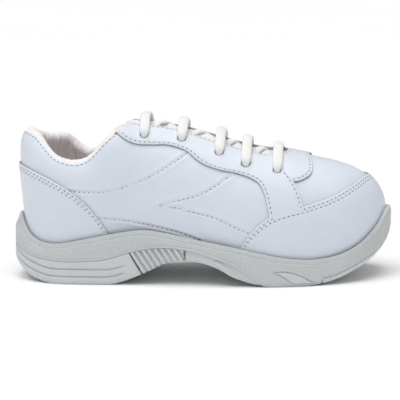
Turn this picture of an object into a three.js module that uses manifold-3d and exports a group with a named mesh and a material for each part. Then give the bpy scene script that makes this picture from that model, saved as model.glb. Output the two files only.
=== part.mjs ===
// A low-cut lace-up cheer shoe for the right foot, as an assembly of separate pieces.
// Millimetres. +X runs from heel to toe, +Y to the inner (medial) side, +Z up, the ground is z = 0.
import * as THREE from "three";
import { mergeVertices } from "three/addons/utils/BufferGeometryUtils.js";
import Module from "manifold-3d";

const wasm = await Module();
wasm.setup();

// ---- Driving sizes ----------------------------------------------------------
const GAP = 0.3; // between pieces that touch on the real shoe
const LEATHER = 1.2; // quarters and vamp
const OVERLAY = 1.4; // facings, toe cap and heel foxing
const STIFFENER = 1.2; // heel counter, toe puff and facing stays
const LINING = 1.0;
const BOARD = 2.0; // insole board
const SOCKLINER = 4.0;
const RIM = 2.4; // wall of the sole's cup at its top edge
const COLLAR_PAD = 3.8; // foam thickness of the padded collar
const THROAT = 14.5; // half width of the throat opening at its front
const THROAT_REAR = 12; // and at its back
const THROAT_END = 57; // its round front end
const TREAD = 3.2; // depth of the forefoot tread plate
const PANEL = 3.0; // depth of the side panels let into the sole
const LACE = 1.5; // radius of the round lace
const HOLE = 2.9; // radius of a lace hole
const TONGUE_FOAM = 3.6;
const TONGUE_SKIN = 1.0; // the tongue's face and lining
const LACE_ROOM = 0.8; // between the lace and the lining over it
const TONGUE_ROOM = 0.4; // between the lace and the tongue's face under it
const TONGUE_CROWN = 4.6; // rise of its padded middle
const LINING_UNDER = LEATHER + STIFFENER + LINING + 2 * GAP; // depth of the lining's inner face
const UNDER = -LINING_UNDER - GAP - LACE - LACE_ROOM; // the lace's runs under the facings
const TONGUE_SET = LACE + TONGUE_ROOM - UNDER; // depth of the tongue's face at its edges
const TREAD_GROOVE = 2.4; // width of the grooves across the treads
const TREAD_GROOVE_DEPTH = 1.8;
const HEEL_GROOVE_DEPTH = 1.3; // depth of the two lines round the heel block
const AGLET = 16; // length of a lace tip
const RIB_PITCH = 4.2; // spacing of the slanting ribs in the arch
const RIB_LEAN = 14; // forward lean of a rib from its top to its foot
const RIBS = 9;

// ---- The last ---------------------------------------------------------------
// Numbered stations run from the middle of the heel (0) along one side to the tip of the toe (10).
// At each one a cubic Bezier rises from the feather line over the lower wall and shoulder to the top.
// Up to station 4 the top is the collar's edge, and from 5 on it is the ridge that both sides share.
const OUTER_SIDE = {
  feather: [
    [-113, 0, 23], [-107, -17, 23], [-90, -27, 22], [-68, -28.5, 22], [-46, -29, 22], [-22, -31, 22],
    [5, -34.5, 19.5], [36, -37.5, 13], [68, -35, 11.5], [99, -22, 16.5], [115, 3, 25],
  ],
  wall: [
    [-112.5, 0, 50], [-108.5, -20, 48], [-91, -32, 44], [-68, -34.5, 42], [-46, -36, 50], [-22, -39, 54],
    [5, -43, 50], [37, -46, 42], [70, -43, 38], [106, -32, 42], [127, 3, 50],
  ],
  shoulder: [
    [-121, 0, 86], [-112, -20, 82], [-90, -32, 70], [-71, -35, 66.5], [-51, -33, 84], [-28, -28, 100],
    [3, -28, 94], [35, -31, 84], [65, -31, 80], [96, -21, 73], [111, 3, 68],
  ],
  top: [
    [-113, 0, 95.5], [-104.5, -11, 92.5], [-90, -24, 79.8], [-72, -26, 78.3], [-53, -23, 95.2], [-30, 0, 103],
    [2, 0, 95.5], [34, 0.5, 86], [63, 1.5, 79.2], [84, 2, 74.6], [93, 3, 71.8],
  ],
};
const INNER_SIDE = {
  feather: [
    [-113, 0, 23], [-107, 16.5, 23], [-90, 26, 22], [-68, 25, 22], [-46, 24, 22], [-22, 25, 22],
    [5, 32, 19.5], [36, 38, 13], [69, 36, 11.5], [100, 25, 16.5], [115, 3, 25],
  ],
  wall: [
    [-112.5, 0, 50], [-108.5, 19.5, 48], [-91, 31, 46], [-68, 31, 44], [-46, 31, 50], [-22, 34, 52],
    [5, 41, 48], [37, 46, 42], [71, 44, 38], [108, 34, 42], [127, 3, 50],
  ],
  shoulder: [
    [-121, 0, 86], [-112, 21, 82], [-88, 32, 76], [-71, 34, 68], [-50, 32, 84], [-28, 27, 100],
    [3, 28, 94], [35, 31, 84], [65, 32, 80], [97, 25, 73], [111, 3, 68],
  ],
  top: [
    [-113, 0, 95.5], [-102.5, 14, 91], [-88, 24, 88], [-72, 27, 78.2], [-53, 23, 93.5], [-30, 0, 103],
    [2, 0, 95.5], [34, 0.5, 86], [63, 1.5, 79.2], [84, 2, 74.6], [93, 3, 71.8],
  ],
};
const TOE = 10; // station of the toe's tip
const SIDES = { outer: [OUTER_SIDE, INNER_SIDE], inner: [INNER_SIDE, OUTER_SIDE] };

// A row's value between its stations, by Catmull-Rom. Round the heel and the toe it runs on into the other side's row.
function along(row, other, station) {
  const i = Math.min(TOE - 1, Math.max(0, Math.floor(station)));
  const t = station - i;
  const at = (k) => (k < 0 ? other[-k] : k > TOE ? other[2 * TOE - k] : row[k]);
  const [a, b, c, d] = [at(i - 1), at(i), at(i + 1), at(i + 2)];
  return b.map((_, k) => {
    const slope0 = (c[k] - a[k]) / 2;
    const slope1 = (d[k] - b[k]) / 2;
    const rise = c[k] - b[k];
    return b[k] + t * (slope0 + t * (3 * rise - 2 * slope0 - slope1 + t * (slope0 + slope1 - 2 * rise)));
  });
}

// A point of the last: share 0 is the feather line and 1 the top.
function lastPoint(side, station, share) {
  const [own, other] = SIDES[side];
  const [p0, p1, p2, p3] = ["feather", "wall", "shoulder", "top"].map((r) => along(own[r], other[r], station));
  const s = 1 - share;
  const weights = [s * s * s, 3 * s * s * share, 3 * s * share * share, share ** 3];
  return new THREE.Vector3(
    ...p0.map((_, k) => weights[0] * p0[k] + weights[1] * p1[k] + weights[2] * p2[k] + weights[3] * p3[k]),
  );
}

// The outward normal of one side. At the very top the rows run together, so it is taken a little lower down.
function sideNormal(side, station, share) {
  const e = 0.01;
  const v = Math.min(share, 0.97);
  const u = Math.min(Math.max(station, e), TOE - e);
  const du = lastPoint(side, u + e, v).sub(lastPoint(side, u - e, v));
  const dv = lastPoint(side, u, v + e).sub(lastPoint(side, u, Math.max(0, v - e)));
  const n = du.cross(dv).normalize();
  if (side === "inner") n.negate();
  if (station <= e || station >= TOE - e) n.y = 0; // both sides meet in one plane there
  return n.normalize();
}

// Along the ridge both sides share one normal, so that their layers meet.
function lastNormal(side, station, share) {
  const n = sideNormal(side, station, share);
  if (station < 4.95 || share < 0.999) return n;
  return n.add(sideNormal(side === "outer" ? "inner" : "outer", station, share)).normalize();
}

// A point at a distance out from the last's surface.
const offLast = (side, station, share, out) =>
  lastPoint(side, station, share).addScaledVector(lastNormal(side, station, share), out);

// The value that brings a rising function to zero.
function solve(f, low, high) {
  for (let i = 0; i < 40; i++) {
    const middle = (low + high) / 2;
    if (f(middle) < 0) low = middle;
    else high = middle;
  }
  return (low + high) / 2;
}

// A point over the last at a length x: across 0 is the ridge, below 0 the outer side and above 0 the inner side.
function overLast(x, across, out) {
  const side = across < 0 ? "outer" : "inner";
  const share = 1 - Math.abs(across);
  const station = solve((u) => lastPoint(side, u, share).x - x, 4.2, 9.6);
  return offLast(side, station, share, out);
}

// ---- Solids -------------------------------------------------------------------
function toSolid(geometry) {
  const bare = geometry.clone();
  bare.deleteAttribute("normal");
  bare.deleteAttribute("uv");
  const merged = mergeVertices(bare, 1e-4);
  const faces = [];
  for (let i = 0; i < merged.index.count; i += 3) {
    const [a, b, c] = [0, 1, 2].map((k) => merged.index.getX(i + k));
    if (a !== b && b !== c && c !== a) faces.push(a, b, c);
  }
  return new wasm.Manifold(new wasm.Mesh({
    numProp: 3,
    vertProperties: new Float32Array(merged.attributes.position.array),
    triVerts: new Uint32Array(faces),
  }));
}

function toGeometry(solid) {
  const mesh = solid.getMesh();
  const points = new Float32Array(mesh.numVert * 3);
  for (let i = 0; i < mesh.numVert; i++)
    points.set(mesh.vertProperties.subarray(i * mesh.numProp, i * mesh.numProp + 3), i * 3);
  const geometry = new THREE.BufferGeometry();
  geometry.setAttribute("position", new THREE.BufferAttribute(points, 3));
  geometry.setIndex(new THREE.BufferAttribute(new Uint32Array(mesh.triVerts), 1));
  geometry.computeVertexNormals();
  return geometry;
}

// A closed solid between two grids of points, walled round the four edges.
function slab(outer, inner) {
  const rows = outer.length;
  const columns = outer[0].length;
  const points = [...outer.flat(), ...inner.flat()];
  const id = (layer, i, j) => layer * rows * columns + i * columns + j;
  const faces = [];
  const quad = (a, b, c, d) => faces.push(a, b, c, a, c, d);
  for (let i = 0; i < rows - 1; i++)
    for (let j = 0; j < columns - 1; j++) {
      quad(id(0, i, j), id(0, i + 1, j), id(0, i + 1, j + 1), id(0, i, j + 1));
      quad(id(1, i, j), id(1, i, j + 1), id(1, i + 1, j + 1), id(1, i + 1, j));
    }
  for (let i = 0; i < rows - 1; i++) {
    quad(id(1, i, 0), id(1, i + 1, 0), id(0, i + 1, 0), id(0, i, 0));
    quad(id(0, i, columns - 1), id(0, i + 1, columns - 1), id(1, i + 1, columns - 1), id(1, i, columns - 1));
  }
  for (let j = 0; j < columns - 1; j++) {
    quad(id(0, 0, j), id(0, 0, j + 1), id(1, 0, j + 1), id(1, 0, j));
    quad(id(1, rows - 1, j), id(1, rows - 1, j + 1), id(0, rows - 1, j + 1), id(0, rows - 1, j));
  }
  const geometry = new THREE.BufferGeometry().setFromPoints(points);
  geometry.setIndex(faces);
  const solid = toSolid(geometry);
  if (solid.volume() >= 0) return solid;
  for (let k = 0; k < faces.length; k += 3) [faces[k], faces[k + 1]] = [faces[k + 1], faces[k]];
  geometry.setIndex(faces);
  return toSolid(geometry);
}

// A side-view outline [x, z] carried through the shoe's width from y0 to y1.
function sidePrism(outline, y0 = -80, y1 = 80) {
  const shape = new THREE.Shape(outline.map(([x, z]) => new THREE.Vector2(x, z)));
  const geometry = new THREE.ExtrudeGeometry(shape, { depth: y1 - y0, bevelEnabled: false });
  geometry.rotateX(Math.PI / 2);
  geometry.translate(0, y1, 0);
  return toSolid(geometry);
}

const box = (x0, x1, y0, y1, z0, z1) =>
  toSolid(new THREE.BoxGeometry(x1 - x0, y1 - y0, z1 - z0)
    .translate((x0 + x1) / 2, (y0 + y1) / 2, (z0 + z1) / 2));

const OUTER_HALF = box(-150, 150, -80, -GAP / 2, -20, 150);
const INNER_HALF = box(-150, 150, GAP / 2, 80, -20, 150);

// ---- Layers of the upper --------------------------------------------------------
// Every layer is faceted on the same stations and shares, so that nested layers stay clear of one another.
const STATION_STEPS = [0, 0.5, 1, 1.5, 2, 2.6, 3.2, 3.8, 4.4, 5, 5.7, 6.4, 7.1, 7.8, 8.4, 8.9, 9.3, 9.7, 10];
const SHARE_STEPS = [0, 0.2, 0.4, 0.56, 0.7, 0.82, 0.92, 1];
const valueOf = (d, station, share) => (typeof d === "function" ? d(station, share) : d);

const halfGrid = (side, d, stations = STATION_STEPS) =>
  stations.map((u) => SHARE_STEPS.map((v) => offLast(side, u, v, valueOf(d, u, v))));

// A layer of the upper between two distances from the last, over a range of stations on both sides.
function layer(out, into, from = 0, to = TOE) {
  const stations = STATION_STEPS.filter((s) => s >= from && s <= to);
  const half = (side) => slab(halfGrid(side, out, stations), halfGrid(side, into, stations));
  return half("outer").add(half("inner"));
}

// The whole volume inside a distance from the last.
const footVolume = (d) => slab(halfGrid("outer", d), halfGrid("inner", d));

// ---- Outlines of the upper's pieces in side view [x, z] ---------------------------
const TOE_CAP_EDGE = [
  [24, 10], [28, 24], [35, 34.6], [46, 43.6], [56, 47.4], [67, 49.8], [77, 52.4], [87, 55.6], [98, 60.4],
  [104, 63.6], [108, 66],
];
const FOXING_EDGE = [
  [-130, 75.4], [-117, 75.2], [-111, 73.9], [-104, 71.5], [-90.5, 65.8], [-80.5, 60], [-70.6, 51.7],
  [-64, 43.8], [-59, 36.3], [-56, 30], [-54, 10],
];
const FACING_LOWER_EDGE = [
  [-54, 99], [-51, 95.6], [-45, 91.3], [-38, 88.6], [-28, 88], [-20, 87.9], [-12, 86.1], [-6, 83.4], [1, 78],
  [8, 74.6], [16, 72.2], [24, 70.6], [33, 67.8], [39.5, 64], [43, 57.5], [46, 44.8],
];
const FACING_FRONT_EDGE = [[67.6, 51], [65.3, 57.9], [62.2, 63.9], [58.6, 68.8], [55, 72], [55, 84]];
const PATCH_EDGE = [[55.6, 84], [73.5, 84], [73.5, 74], [73.2, 69], [70, 66.6], [64.4, 64.4], [62.6, 64.2]];
const LINING_SEAM = -40.5; // length of the seam between the two linings
const VAMP_SEAM = [[58, 95], [58, 62], [54, 40], [48, 5]];

const throatShape = (() => {
  const shape = new THREE.Shape();
  shape.moveTo(-62, -THROAT_REAR);
  shape.lineTo(-10, -THROAT_REAR);
  shape.lineTo(14, -THROAT);
  shape.lineTo(THROAT_END - THROAT, -THROAT);
  shape.absarc(THROAT_END - THROAT, 0, THROAT, -Math.PI / 2, Math.PI / 2, false);
  shape.lineTo(14, THROAT);
  shape.lineTo(-10, THROAT_REAR);
  shape.lineTo(-62, THROAT_REAR);
  return shape;
})();
const THROAT_CUT = toSolid(
  new THREE.ExtrudeGeometry(throatShape, { depth: 110, bevelEnabled: false, curveSegments: 6 }).translate(0, 0, 40),
);

// ---- Lacing rows ------------------------------------------------------------------
const ROWS = [[THROAT_END - 6, 0.31], [31, 0.31], [14, 0.28], [-10, 0.25], [-34, 0.23]]; // length and spread of the hole pairs
const holeSpots = ROWS.flatMap(([x, spread]) => [-1, 1].map((s) => [x, s * spread]));

function rodBetween(a, b, radius, sides = 8) {
  const axis = new THREE.Vector3().subVectors(b, a);
  const geometry = new THREE.CylinderGeometry(radius, radius, axis.length(), sides);
  geometry.applyQuaternion(new THREE.Quaternion().setFromUnitVectors(new THREE.Vector3(0, 1, 0), axis.normalize()));
  geometry.translate(...a.clone().add(b).multiplyScalar(0.5).toArray());
  return toSolid(geometry);
}

const LACE_HOLES = holeSpots
  .map(([x, across]) => rodBetween(overLast(x, across, -5.5), overLast(x, across, 3.5), HOLE))
  .reduce((all, one) => all.add(one));

// ---- The padded collar ---------------------------------------------------------
// Foam thickness fades down the wall and towards the facings.
const smooth = (a, b, x) => THREE.MathUtils.smoothstep(x, a, b);
const padding = (station, share) =>
  COLLAR_PAD * smooth(0.5, 0.92, share) * (1 - 0.75 * smooth(3.6, 4.6, station));
const COLLAR_STATIONS = STATION_STEPS.filter((s) => s <= 5);
const LINING_OUT = -LEATHER - GAP - STIFFENER - GAP; // lining's outer face away from the collar
const foamInner = (station, share) => LINING_OUT + GAP - padding(station, share);

// A point past the collar's edge: out along the normal and up along the wall.
function beyondEdge(side, station, out, up) {
  const n = sideNormal(side, station, 1);
  const t = lastPoint(side, station, 1).sub(lastPoint(side, station, 0.97));
  t.addScaledVector(n, -t.dot(n)).normalize();
  return lastPoint(side, station, 1).addScaledVector(n, out).addScaledVector(t, up);
}

// The roll over the collar's top, as [share of the padding's depth, height above the leather's edge].
const FOAM_ROLL = { outer: [[0.04, 1.1], [0.16, 2.2], [0.38, 2.9]], inner: [[0.92, 1.2], [0.76, 2.4], [0.55, 2.9]] };

function collarFoamHalf(side) {
  const shares = SHARE_STEPS.filter((v) => v >= 0.56);
  const start = -LEATHER - GAP;
  const depth = (u) => start - foamInner(u, 1);
  const column = (u, face, roll) => [
    ...shares.map((v) => offLast(side, u, v, face(u, v))),
    ...roll.map(([part, up]) => beyondEdge(side, u, start - part * depth(u), up)),
  ];
  return slab(
    COLLAR_STATIONS.map((u) => column(u, () => start, FOAM_ROLL.outer)),
    COLLAR_STATIONS.map((u) => column(u, foamInner, FOAM_ROLL.inner)),
  );
}

function collarLiningHalf(side) {
  const outerFace = (u, v) => foamInner(u, v) - GAP;
  const innerFace = (u, v) => outerFace(u, v) - LINING;
  const start = -LEATHER - GAP;
  const depth = (u) => start - foamInner(u, 1);
  const near = [[1.02, 1.7], [0.84, 3.05], [0.45, 3.6], [0.1, 2.9], [-0.06, 1.6], [-0.08, GAP]];
  const rollOf = (u, grow) => near.map(([part, up], k) => {
    const spread = [-1, -0.75, 0, 0.6, 1, 1][k] * grow;
    const lift = [0.25, 0.75, 1, 0.7, 0.15, 0][k] * grow;
    return beyondEdge(side, u, start - part * depth(u) + spread + (k === 0 ? -GAP : 0), up + lift);
  });
  const column = (u, face, grow) => [...SHARE_STEPS.map((v) => offLast(side, u, v, face(u, v))), ...rollOf(u, grow)];
  return slab(
    COLLAR_STATIONS.map((u) => column(u, outerFace, 0)),
    COLLAR_STATIONS.map((u) => column(u, innerFace, LINING)),
  );
}

// ---- The sole ---------------------------------------------------------------------
// A smooth height profile through [x, z] pairs.
function profile(pairs) {
  const slope = pairs.map((_, i) => {
    const [a, b] = [pairs[Math.max(0, i - 1)], pairs[Math.min(pairs.length - 1, i + 1)]];
    return (b[1] - a[1]) / (b[0] - a[0]);
  });
  return (x) => {
    const clamped = Math.min(Math.max(x, pairs[0][0]), pairs[pairs.length - 1][0]);
    const i = Math.max(0, Math.min(pairs.length - 2, pairs.findIndex(([px]) => px > clamped) - 1));
    const last = clamped >= pairs[pairs.length - 1][0];
    const k = last ? pairs.length - 2 : i;
    const [[x0, z0], [x1, z1]] = [pairs[k], pairs[k + 1]];
    const h = x1 - x0;
    const t = (clamped - x0) / h;
    return z0 + t * (slope[k] * h + t * (3 * (z1 - z0) - h * (2 * slope[k] + slope[k + 1])
      + t * (h * (slope[k] + slope[k + 1]) - 2 * (z1 - z0))));
  };
}

const rimHeight = profile([
  [-122, 44], [-119, 42.5], [-115.5, 38], [-110, 31], [-102, 26.8], [-90, 26.1], [-77, 28.4], [-57, 32.3], [-35, 35.4],
  [-21, 33.8], [2, 29.2], [28, 24.2], [48, 19.8], [62, 17.6], [75, 16.8], [90, 18.8], [103, 24], [111, 29.8],
  [117, 36], [121, 42], [123, 44],
]);
const groundCurve = profile([
  [-124, 22], [-121.5, 14.5], [-117, 9], [-106, 3], [-93, 0], [-58, 0], [-47, 2.5], [-31.6, 8.7], [-19, 14.6],
  [-8, 16], [3, 14.6], [11.3, 12], [21.4, 7], [34, 2.2], [48, 0], [64, 0], [77, 1], [90, 4], [107.5, 12.2],
  [116, 18.4], [121, 25], [124, 36],
]);
const groundHeight = (x) => Math.max(0, groundCurve(x));
const splitHeight = profile([
  [-124, 26], [-117, 20.6], [-107, 17.2], [-90, 15.2], [-70, 15.4], [-57, 17], [-44, 21], [-31, 23.7],
  [-20, 24.4], [-8, 23.4], [2, 21.6], [12, 18], [22, 14.6], [31.5, 9], [43, 0],
]);
const SOLE_STATIONS = [
  0, 0.3, 0.7, 1.2, 1.8, 2.5, 3.3, 4.1, 4.8, 5.5, 6.1, 6.7, 7.3, 7.9, 8.4, 8.8, 9.2, 9.5, 9.8, 10,
];
const FLARE = profile([[0, 3.9], [1.2, 2.8], [3, 2], [8, 1.8], [10, 0.6]]); // sole's spread below its rim, by station

// The top edge of the cup's wall at a station.
function rimPoint(side, station) {
  const share = solve((v) => {
    const p = offLast(side, station, v, 2 + RIM);
    return p.z - rimHeight(p.x);
  }, 0, 0.6);
  return offLast(side, station, share, 2 + RIM);
}

// Rings of the sole's side from the bottom edge to the rim, let in by an inset and dropped at the bottom.
function soleGrid(side, inset, drop) {
  return SOLE_STATIONS.map((u) => {
    const rim = rimPoint(side, u);
    const n = lastNormal(side, u, 0.15);
    n.z = 0;
    n.normalize();
    const flare = FLARE(u);
    const at = (out) => rim.clone().addScaledVector(n, out - inset);
    const bottom = at(flare - 1.6);
    const ground = groundHeight(bottom.x);
    return [
      bottom.setZ(ground - drop),
      at(flare).setZ(ground + 2.6),
      at(flare * 0.85).setZ(Math.max(ground + 4, rim.z - 8)),
      at(0.8).setZ(rim.z - 2.2),
      at(0).setZ(rim.z),
    ];
  });
}

const soleBlock = (inset = 0, drop = 0) => slab(soleGrid("outer", inset, drop), soleGrid("inner", inset, drop));
const curve = (height, from, to, steps, lift = 0) =>
  Array.from({ length: steps + 1 }, (_, i) => {
    const x = from + ((to - from) * i) / steps;
    return [x, height(x) + lift];
  });

const body = soleBlock();
const sideShell = (deep, shallow = 0) =>
  soleBlock(shallow - (shallow === 0 ? 4 : 0), 6).intersect(shallow === 0 ? body : soleBlock(shallow))
    .subtract(soleBlock(deep, 8));

// The line on the sole's side where the midsole ends, and the same a gap lower for the pieces under it.
const SPLIT_LINE = curve(splitHeight, -126, 43, 39);
const underSplit = (from, to) => {
  const inside = SPLIT_LINE.filter(([x]) => x > from && x < to);
  return [[from, splitHeight(from)], ...inside, [to, splitHeight(to)]].map(([x, z]) => [x, z - 1.5 * GAP]);
};
const ABOVE_SPLIT = [...SPLIT_LINE, [43, -12], [140, -12], [140, 90], [-126, 90]];
const RIB_REGION = [...underSplit(-42.6, -8.2), [-8.2, 8], [-35.4, 3], [-35.6, 8]];

function heelBlock() {
  const region = [...underSplit(-125.9, -43.6), [-36.4, 8], [-33, -6], [-125.9, -6]];
  let heel = body.intersect(sidePrism(region));
  const rims = soleBlock(-4, 8).subtract(soleBlock(HEEL_GROOVE_DEPTH, 8));
  for (const lift of [4.6, 9.4]) {
    const groove = [
      ...curve(groundHeight, -123.6, -62, 9, lift), ...curve(groundHeight, -61, -47, 2, lift - 0.3),
      ...curve(groundHeight, -47, -61, 2, lift + 0.9), ...curve(groundHeight, -62, -123.6, 9, lift + 1.2),
    ];
    heel = heel.subtract(rims.intersect(sidePrism(groove)));
  }
  for (let x = -98; x < -46; x += 10) heel = heel.subtract(box(x, x + TREAD_GROOVE, -22, 22, -6, TREAD_GROOVE_DEPTH));
  return heel.subtract(shank(GAP));
}

const archCore = () =>
  soleBlock(PANEL + GAP, -0.6).intersect(sidePrism([
    ...SPLIT_LINE.filter(([x]) => x > -43).map(([x, z]) => [x, z + 1]), [44, -3], [-35, -3], [-35.4, 8],
  ]));

function ribPanel(half) {
  const backing = sideShell(PANEL, 1.5).intersect(sidePrism(RIB_REGION));
  let fins = null;
  for (let i = 0; i < RIBS; i++) {
    const x = -44.8 + i * RIB_PITCH;
    const fin = sidePrism([[x - 1.2, 26], [x + 1.1, 26], [x + RIB_LEAN + 1.1, 4], [x + RIB_LEAN - 1.2, 4]]);
    fins = fins ? fins.add(fin) : fin;
  }
  const proud = sideShell(PANEL).intersect(sidePrism(RIB_REGION)).intersect(fins);
  return backing.add(proud).intersect(half);
}

function flamePanel(half) {
  const region = [...underSplit(-7.6, 41), [41, -6], [-7.6, -6]];
  const ridge = [[12, 14.6], [14.5, 15.2], [22, 9.4], [28.5, 3.2], [33, -2], [29, -2], [25.5, 2.4], [19, 8.4]];
  const plain = sideShell(PANEL, 0.7).intersect(sidePrism(region));
  return plain.add(sideShell(PANEL).intersect(sidePrism(region)).intersect(sidePrism(ridge))).intersect(half);
}

const CRESCENT = [
  [49.9, 9.4], [54, 9.7], [58.7, 9.2], [63, 7.8], [67.2, 5.9], [71, 3.8], [74, 2], [68, 2.2], [61.5, 2.2],
  [58.5, 4.4], [55.9, 6.4], [52.6, 8.2],
];
const CRESCENT_POCKET = [
  [48.4, 9.7], [54, 10.2], [58.9, 9.7], [63.3, 8.3], [67.5, 6.4], [71.3, 4.3], [75.6, 1.5], [68, 1.7], [61.2, 1.7],
  [58.1, 4], [55.5, 6], [52.3, 7.7],
];

// The forefoot tread fills a pocket in the sole and comes out round the toe as a strip.
function forefootPlate(grow) {
  const rear = soleBlock(4.5 - grow, grow === 0 ? 0 : 8).intersect(box(44 - grow, 82, -60, 60, -20, 60));
  const front = (grow === 0 ? body : soleBlock(-4, 8)).intersect(box(80 - grow, 140, -60, 60, -20, 60));
  const band = [...curve(groundHeight, 40, 124, 21, TREAD + 2 * grow), [130, 36 + TREAD + 2 * grow], [130, -12], [40, -12]];
  return rear.add(front).intersect(sidePrism(band));
}

function outsoleForefoot() {
  let plate = forefootPlate(0);
  for (let x = 50; x < 104; x += 9) {
    const z = groundHeight(x + TREAD_GROOVE / 2);
    plate = plate.subtract(box(x, x + TREAD_GROOVE, -26, 26, z - 6, z + TREAD_GROOVE_DEPTH));
  }
  return plate;
}

const featherHeight = profile(OUTER_SIDE.feather.map(([x, , z]) => [x, z]));

// Boards that lie on the last's bottom between two heights, let in from its feather line.
function footBoard(inset, share, bottom, top, from, to) {
  const edge = (side) => STATION_STEPS.filter((u) => u >= from && u <= to).map((u) => offLast(side, u, share, -inset));
  const [outer, inner] = [edge("outer"), edge("inner")];
  const grid = (lift) => outer.map((p, i) => [0, 0.33, 0.67, 1].map((t) => {
    const point = p.clone().lerp(inner[i], t);
    return point.setZ(featherHeight(point.x) + lift);
  }));
  return slab(grid(top), grid(bottom));
}

function shank(grow) {
  const xs = [-84, -66, -48, -30, -14, 2];
  const z = (x) => 19.9 - (x > -30 ? ((x + 30) / 32) ** 2 * 1.4 : 0);
  const grid = (lift) => xs.map((x, i) => {
    const end = i === 0 ? -grow : i === xs.length - 1 ? grow : 0;
    return [-7 - grow, 7 + grow].map((y) => new THREE.Vector3(x + end, y - 1, z(x) + lift));
  });
  return slab(grid(grow > 0 ? 5 : 0.6), grid(-0.6 - grow));
}

function midsole() {
  const cup = body.intersect(sidePrism(ABOVE_SPLIT)).add(archCore());
  let solid = cup.subtract(footVolume(2).translate([0, 0, -GAP]));
  solid = solid.subtract(forefootPlate(GAP)).subtract(shank(GAP));
  const skin = soleBlock(-4, 8).subtract(soleBlock(1.7, 8));
  solid = solid.subtract(skin.intersect(sidePrism(CRESCENT_POCKET)));
  return solid;
}

// ---- The tongue -----------------------------------------------------------------
const TONGUE_XS = [62, 56, 48, 38, 26, 13, 0, -12, -24, -36, -46];
const TONGUE_ACROSS = [-1, -0.7, -0.4, 0, 0.4, 0.7, 1];
const crown = (across) => Math.max(0, 1 - (across / 0.15) ** 2); // rise of the padded middle between the facings
const tongueReach = (x) => (x > 50 ? 0.2 + ((63 - x) / 13) * 0.1 : x > -20 ? 0.35 : 0.35 - ((-20 - x) / 30) * 0.14);

// The tongue's layers are set down from its face along directions that lean only half as far as the last's own
// normals, so that they don't run into one another under the narrow ridge.
function tonguePoint(x, across, depth) {
  const knee = -24;
  const sink = 3.2 * (1 - smooth(-46, knee, x));
  const d = -TONGUE_SET + TONGUE_CROWN * crown(across) * (1 - smooth(46, 58, x)) - sink;
  const at = Math.max(x, knee);
  const down = overLast(at, across * 0.5, -1).sub(overLast(at, across * 0.5, 0)).normalize();
  const rise = new THREE.Vector3(-1, 0, 0.242);
  return overLast(at, across, d).addScaledVector(down, depth).addScaledVector(rise, at - x);
}

const tongueLayer = (top, bottom) => {
  const grid = (depth) => TONGUE_XS.map((x) =>
    TONGUE_ACROSS.map((part) => tonguePoint(x, part * tongueReach(x), depth)));
  return slab(grid(top), grid(bottom));
};

// ---- The lace --------------------------------------------------------------------
// Straight bars lie over the facings, and slanting runs cross underneath to the next row.
const dip = (across) => UNDER + 4.5 * crown(0.89 * across);

// Points at a lace hole, by height above the last and shift from the hole's middle towards the ridge.
function nearHole([x, spread], sign) {
  const across = sign * spread;
  const inward = overLast(x, across * 0.9, 0).sub(overLast(x, across, 0)).normalize();
  return (d, shift) => overLast(x, across, d).addScaledVector(inward, shift);
}

// Up through a hole towards the throat, or the same read backwards.
const riser = (row, sign) => {
  const at = nearHole(row, sign);
  return [at(UNDER, 4.2), at(UNDER + 0.15, 2.4), at(-4.6, 0.4), at(-1.6, 0), at(1.2, 0), at(3.4, 0.7), at(4.2, 2.8)];
};
const laneRiser = (row, sign) => {
  const at = nearHole(row, sign);
  return [at(UNDER, -4.4), at(UNDER + 0.1, -2.4), at(-4.4, -0.3), at(-1.6, 0), at(1.2, 0), at(3.4, 0.7), at(4.2, 2.8)];
};

function laceRoute() {
  const points = [];
  const bar = ([x, spread]) => [-0.62, -0.38, 0, 0.38, 0.62].map((f) =>
    overLast(x, f * spread, 3.9 - 0.4 * crown(f * spread)));
  const under = (from, to) => [0.64, 0.45, 0.23, 0, -0.23, -0.45, -0.64].map((f) => {
    const a = f * (f > 0 ? from : to)[1];
    return overLast(from[0] + ((to[0] - from[0]) * (0.84 - f)) / 1.68, a, dip(a));
  });
  const lane = (list) => list.map(([x, across]) => overLast(x, across, UNDER));
  points.push(...lane([[8, -0.475], [-4, -0.475], [-15, -0.472], [-21.5, -0.462], [-24, -0.437]]));
  points.push(...lane([[-21.5, -0.412], [-15, -0.402], [0, -0.4], [15, -0.4], [30, -0.4], [ROWS[0][0] - 9, -0.395]]));
  ROWS.forEach((row, i) => {
    points.push(...(i === 0 ? laneRiser(row, -1) : riser(row, -1)), ...bar(row));
    const down = i === ROWS.length - 1 ? laneRiser(row, 1) : riser(row, 1);
    points.push(...down.reverse());
    if (i < ROWS.length - 1) points.push(...under(row, ROWS[i + 1]));
  });
  points.push(...lane([[-25, 0.39], [-20, 0.397], [-10, 0.4], [5, 0.4], [20, 0.4], [33, 0.402], [39.5, 0.412], [42, 0.437]]));
  points.push(...lane([[39.5, 0.462], [33, 0.472], [22, 0.475], [10, 0.475]]));
  return points;
}

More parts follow.
